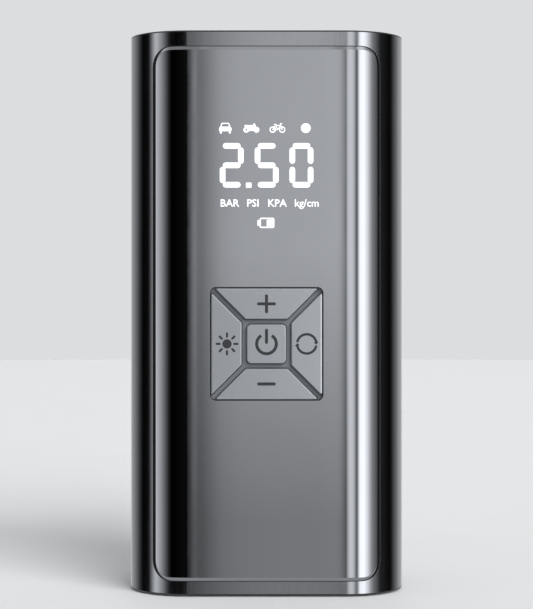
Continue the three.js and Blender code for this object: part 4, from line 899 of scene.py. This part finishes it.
class INFLATOR_OT_outlet(bpy.types.Operator):
    """Models the threaded hose outlet in the top cap"""

    bl_idname = "inflator.outlet"
    bl_label = "Hose outlet"

    def execute(self, context):
        top = box_of("outlet_insert")[1].z
        bm = bmesh.new()
        profile = [(0, -4), (0, -0.25), (-0.25, 0), (-2.0, 0), (-2.5, -0.5), (-2.5, -9)]
        solid(bm, disc(6, OUTLET_X), [(grow, top + drop) for grow, drop in profile], 10)
        self.thread(bm, top - 8)
        finish_piece(bm, "outlet_socket", "turned_brass", ["outlet_insert"])
        return {"FINISHED"}

    def thread(self, bm, low, turns=6, pitch=1.1, steps=40):
        """A ridge that winds up the wall of the bore, closed at both ends."""
        ridge = ((3.52, -0.4), (3.52, 0.4), (2.95, 0))
        section = [bm.verts.new((OUTLET_X + radius, 0, low + up)) for radius, up in ridge]
        edges = [bm.edges.new(pair) for pair in zip(section, section[1:] + section[:1])]
        spun = bmesh.ops.spin(
            bm, geom=section + edges, cent=(OUTLET_X, 0, 0), axis=(0, 0, 1), angle=2 * math.pi * turns,
            dvec=(0, 0, pitch / steps), steps=steps * turns,
        )
        bm.faces.new(section)
        bm.faces.new(verts_in(spun["geom_last"]))


class INFLATOR_OT_lamp(bpy.types.Operator):
    """Models the work lamp's clear window, its reflector and its three lights"""

    bl_idname = "inflator.lamp"
    bl_label = "Work lamp"

    def execute(self, context):
        top = box_of("lamp_lens")[1].z
        board = box_of("lamp_board")[1].z
        window = rectangle(16, 9, 2, LAMP_X)
        bm = bmesh.new()
        solid(bm, window, soft_edge(0.3, top, -1) + [(0, top - 1.2)])
        finish_piece(bm, "lamp_window", "clear_window", ["lamp_lens"])

        bm = bmesh.new()
        section = ((-0.5, top - 1.3), (-2.0, board + 0.2), (-0.1, board + 0.2), (-0.1, top - 1.3))
        bridge(bm, [loop(bm, window, grow, height) for grow, height in section], closed=True)
        finish_piece(bm, "lamp_reflector", "lamp_white")

        dome = [(grow, board + rise) for grow, rise in ((-0.8, 0.75), (-0.4, 0.68), (0, 0.4), (0, 0))]
        for k in (-1, 0, 1):
            bm = bmesh.new()
            solid(bm, rectangle(2.4, 2.4, 0.3, LAMP_X + 3.6 * k), dome, 4)
            finish_piece(bm, f"lamp_led_{k + 2}", "led_phosphor")
        return {"FINISHED"}


class INFLATOR_OT_charge_socket(bpy.types.Operator):
    """Models the metal charging socket with its tongue"""

    bl_idname = "inflator.charge_socket"
    bl_label = "Charge socket"

    def execute(self, context):
        low, high = (corner.z for corner in box_of("charge_socket"))
        bm = bmesh.new()
        solid(
            bm, rectangle(3.3, 8.9, 1.65, SOCKET_X),
            [(0, low), (0, high - 0.1), (-0.1, high), (-0.2, high), (-0.3, high - 0.1), (-0.3, low + 1)], 8,
        )
        solid(bm, rectangle(0.7, 6.6, 0.2, SOCKET_X), soft_edge(0.15, high - 0.8, -1) + [(0, low + 0.8)], 3)
        finish_piece(bm, "socket_shell", "socket_steel", ["charge_socket"])
        return {"FINISHED"}


class INFLATOR_OT_feet(bpy.types.Operator):
    """Models the two rubber strips the case stands on"""

    bl_idname = "inflator.feet"
    bl_label = "Feet"

    def execute(self, context):
        for foot, name in FEET.items():
            low, high = (corner.z for corner in box_of(foot))
            bm = bmesh.new()
            solid(bm, foot_outline(foot), soft_edge(0.2, low) + [(0, high)], 8)
            finish_piece(bm, name, "black_rubber", [foot])
        return {"FINISHED"}


class INFLATOR_OT_case_screws(bpy.types.Operator):
    """Models the four case screws with their cross recess"""

    bl_idname = "inflator.case_screws"
    bl_label = "Case screws"

    def execute(self, context):
        for k in SCREWS:
            node_name = f"case_screw_{k}"
            middle = middle_of(node_name).xy
            low, high = (corner.z for corner in box_of(node_name))
            bm = bmesh.new()
            recess = self.recess(bm, middle, low)
            head, end = rings(
                bm, disc(2.3, *middle),
                soft_edge(0.35, low) + [(0, low + 1.4), (-1.2, low + 1.4), (-1.2, high - 0.6), (-1.6, high)],
            )
            fill(bm, head, recess)
            fill(bm, end)
            finish_piece(bm, f"case_screw_head_{k}", "screw_zinc", [node_name])
        return {"FINISHED"}

    def recess(self, bm, middle, low):
        """A cross sunk into the head from below, closed at its bottom; the edges of its mouth."""
        cross(bm, middle, 1.25, 0.5)
        mouth = [e for e in bm.edges if e.is_boundary]
        bmesh.ops.delete(bm, geom=bm.faces[:], context="FACES_ONLY")
        bmesh.ops.delete(bm, geom=[e for e in bm.edges if e not in mouth], context="EDGES")
        bmesh.ops.translate(bm, verts=bm.verts, vec=(0, 0, low))
        sunk = set(verts_in(bmesh.ops.extrude_edge_only(bm, edges=mouth)["geom"]))
        bmesh.ops.translate(bm, verts=list(sunk), vec=(0, 0, 0.9))
        fill(bm, [e for e in bm.edges if sunk.issuperset(e.verts)])
        return mouth


class INFLATOR_OT_inner_parts(bpy.types.Operator):
    """Gives every carried-over part of the mechanism its finish"""

    bl_idname = "inflator.inner_parts"
    bl_label = "Inner parts"

    def execute(self, context):
        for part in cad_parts.values():
            for slot in part.material_slots:
                name = slot.material.name.split(".")[0]
                slot.material = surface(f"inner_{name}", **INNER_FINISHES[name])
        return {"FINISHED"}


# ---------------- studio

CAMERA_LENS, CAMERA_SHIFT = 103.45, -0.0222  # for the photograph's framing
SUN_FROM, SUN_STRENGTH, SUN_WIDTH = (0.62, -0.95, 0.68), 3.0, 45
WORLD_ON_OBJECT = 0.6  # the world's strength as soft light; as a backdrop it is 1

RING_RADIUS = 1.6
RING_HEIGHT = 3.2
RING_DROP = 0.6  # how far it reaches below the floor, which mirrors look through
RING_PEAK = 3.6  # the light level that a ramp's white stands for
RING_RISE = (-0.19, 0.13, 0.51)  # the heights between which the nearest bands brighten, and their share below
RING_BESIDE = (4, 12)  # degrees from the front over which that dimming ends
# Where the bands give way to one level: start and end height, share at the end, level.
RING_FADES = ((0.45, 0.8, 0.6, 0.9), (-0.3, -0.6, 1.0, 0.72))
# Light level by azimuth in degrees from the camera's side, positive to the right.
RING_LEVELS = (
    (-180, 0.8), (-130, 0.5), (-118, 0.24), (-110, 0.08), (-102, 0.003), (-84, 0.01), (-79, 0.25), (-67, 1.6),
    (-62, 1.3), (-47, 0.35), (-40, 0.06), (-34, 0.0), (-8, 0.01), (8, 1.7), (12, 1.9), (18, 1.6), (21, 0.9),
    (24, 0.28), (26, 0.6), (30.5, 3.2), (38, 3.5), (46, 2.3), (52, 1.15), (57, 0.6), (66, 0.25), (74, 0.04),
    (98, 0.005), (105, 0.02), (115, 0.22), (127, 0.47), (133, 0.68), (180, 0.8),
)
# The same nearest the camera, where the flat front shows only a few degrees.
NEAR_SPAN = 8
NEAR_LEVELS = (
    (-8, 0.01), (-3.5, 0.01), (-3.27, 0.03), (-3.12, 0.4), (-3.02, 0.85), (-2.94, 0.65), (-2.87, 0.45),
    (-2.7, 0.5), (-2.3, 0.75), (-1.9, 0.98), (-1.1, 1.13), (0, 1.17), (2.3, 1.21), (3.05, 1.28), (3.2, 0.95),
    (3.32, 0.4), (3.9, 0.6), (5.2, 1.07), (7.2, 1.6), (8, 1.7),
)


def grey(level):
    return (level / RING_PEAK,) * 3


class INFLATOR_OT_studio(bpy.types.Operator):
    """Sets up the floor, the ring of studio light and the camera"""

    bl_idname = "inflator.studio"
    bl_label = "Studio"

    def execute(self, context):
        scene = context.scene
        self.camera(scene, scene.inflator_studio)
        self.floor(scene.inflator_studio)
        self.light_ring()
        self.backdrop(scene, scene.inflator_studio)
        scene.view_settings.view_transform = "Standard"
        return {"FINISHED"}

    def camera(self, scene, studio):
        data = bpy.data.cameras.new("camera")
        data.lens = CAMERA_LENS
        data.shift_y = CAMERA_SHIFT
        data.clip_start = 0.01
        camera = bpy.data.objects.new("camera", data)
        camera.location = (0, -studio.distance, studio.camera_height)
        camera.rotation_euler = (math.pi / 2, 0, 0)
        scene.collection.objects.link(camera)
        scene.camera = camera

    def floor(self, studio):
        bm = bmesh.new()
        bmesh.ops.create_circle(bm, cap_ends=True, segments=96, radius=RING_RADIUS)
        paper = surface("studio_floor", tuple(studio.floor), 0.6, 20, tint=0.01)
        floor = add_object(bm, "floor", paper)
        floor.visible_glossy = False

    def light_ring(self):
        """A ring of light and dark stands round the object, which only mirrors see."""
        bm = bmesh.new()
        bmesh.ops.create_cone(
            bm, cap_ends=False, segments=96, radius1=RING_RADIUS, radius2=RING_RADIUS,
            depth=RING_HEIGHT + RING_DROP, matrix=Matrix.Translation((0, 0, (RING_HEIGHT - RING_DROP) / 2)),
        )
        ring = add_object(bm, "light_ring", self.ring_material())
        ring.visible_camera = False
        ring.visible_diffuse = False
        ring.visible_shadow = False

    def ring_material(self):
        """Bands of light by azimuth, of which the nearest are dimmer low down."""
        material = bpy.data.materials.new("ring_light")
        material.use_nodes = True
        tree = material.node_tree
        tree.nodes.clear()
        x, y, z = node(tree, "SeparateXYZ", node(tree, "TexCoord").outputs["Object"]).outputs
        towards_camera = node(tree, "Math", y, -1, mode="MULTIPLY").outputs[0]
        azimuth = node(tree, "Math", x, towards_camera, mode="ARCTAN2").outputs[0]
        near = node(tree, "Math", azimuth, 0, math.radians(NEAR_SPAN), mode="COMPARE").outputs[0]
        wide = self.bands(tree, azimuth, RING_LEVELS, 180)
        fine = self.bands(tree, azimuth, NEAR_LEVELS, NEAR_SPAN)
        light = node(tree, "Mix", mode="RGBA", Factor=near, A=wide, B=fine).outputs["Result"]
        low, high, share = RING_RISE
        rise = node(tree, "MapRange", z, From_Min=low, From_Max=high, To_Min=share).outputs["Result"]
        near_end, far_end = (math.radians(degrees) for degrees in RING_BESIDE)
        aside = node(tree, "Math", azimuth, mode="ABSOLUTE").outputs[0]
        beside = node(tree, "MapRange", aside, From_Min=near_end, From_Max=far_end).outputs["Result"]
        dimming = node(tree, "Mix", Factor=beside, A=rise, B=1).outputs["Result"]
        light = node(tree, "VectorMath", light, mode="SCALE", Scale=dimming).outputs["Vector"]
        for start, end, share, level in RING_FADES:
            fade = node(tree, "MapRange", z, From_Min=start, From_Max=end, To_Max=share).outputs["Result"]
            mixed = node(tree, "Mix", mode="RGBA", Factor=fade, A=light, B=(*grey(level), 1))
            light = mixed.outputs["Result"]
        glow = node(tree, "Emission", Color=light, Strength=RING_PEAK)
        node(tree, "OutputMaterial", Surface=glow.outputs[0])
        return material

    def bands(self, tree, azimuth, levels, span):
        """Light and dark bands by azimuth, within a span of degrees to either side."""
        share = node(tree, "MapRange", azimuth, From_Min=-math.radians(span), From_Max=math.radians(span))
        stops = [(0.5 + angle / span / 2, grey(level)) for angle, level in levels]
        return ramp(tree, share.outputs["Result"], stops)

    def backdrop(self, scene, studio):
        """The world is the plain backdrop and soft light; one wide sun gives the shadow."""
        world = bpy.data.worlds.new("studio")
        scene.world = world
        world.use_nodes = True
        tree = world.node_tree
        background = tree.nodes["Background"].inputs
        background["Color"].default_value = (*studio.backdrop, 1)
        diffuse = node(tree, "LightPath").outputs["Is Diffuse Ray"]
        strength = node(tree, "MapRange", diffuse, To_Min=1.0, To_Max=WORLD_ON_OBJECT)
        tree.links.new(strength.outputs["Result"], background["Strength"])
        data = bpy.data.lights.new("key_light", "SUN")
        data.energy = SUN_STRENGTH
        data.angle = math.radians(SUN_WIDTH)
        key = bpy.data.objects.new("key_light", data)
        key.rotation_euler = Vector(SUN_FROM).to_track_quat("Z", "Y").to_euler()
        key.visible_glossy = False
        scene.collection.objects.link(key)


# ---------------- add-on

GROUPS = {
    "inflator_case": CaseSizes,
    "inflator_keys": KeySizes,
    "inflator_finish": Finishes,
    "inflator_studio": StudioSettings,
}
OPERATORS = (
    INFLATOR_OT_case_shell,
    INFLATOR_OT_gloss_panel,
    INFLATOR_OT_end_caps,
    INFLATOR_OT_keys,
    INFLATOR_OT_display,
    INFLATOR_OT_outlet,
    INFLATOR_OT_lamp,
    INFLATOR_OT_charge_socket,
    INFLATOR_OT_feet,
    INFLATOR_OT_case_screws,
    INFLATOR_OT_inner_parts,
    INFLATOR_OT_studio,
)


class INFLATOR_PT_sidebar(bpy.types.Panel):
    """Lists the steps that dress the inflator"""

    bl_idname = "INFLATOR_PT_sidebar"
    bl_label = "Inflator"
    bl_space_type = "VIEW_3D"
    bl_region_type = "UI"
    bl_category = "Inflator"

    def draw(self, context):
        for operator in OPERATORS:
            self.layout.operator(operator.bl_idname)
        for name, group in GROUPS.items():
            box = self.layout.box()
            for setting in group.__annotations__:
                box.prop(getattr(context.scene, name), setting)


CLASSES = (*GROUPS.values(), *OPERATORS, INFLATOR_PT_sidebar)


def register():
    for cls in CLASSES:
        bpy.utils.register_class(cls)
    for name, group in GROUPS.items():
        setattr(bpy.types.Scene, name, bpy.props.PointerProperty(type=group))


def unregister():
    for name in GROUPS:
        delattr(bpy.types.Scene, name)
    for cls in reversed(CLASSES):
        bpy.utils.unregister_class(cls)


def main():
    register()
    for operator in OPERATORS:
        group, name = operator.bl_idname.split(".")
        getattr(getattr(bpy.ops, group), name)()


if __name__ == "__main__":
    main()
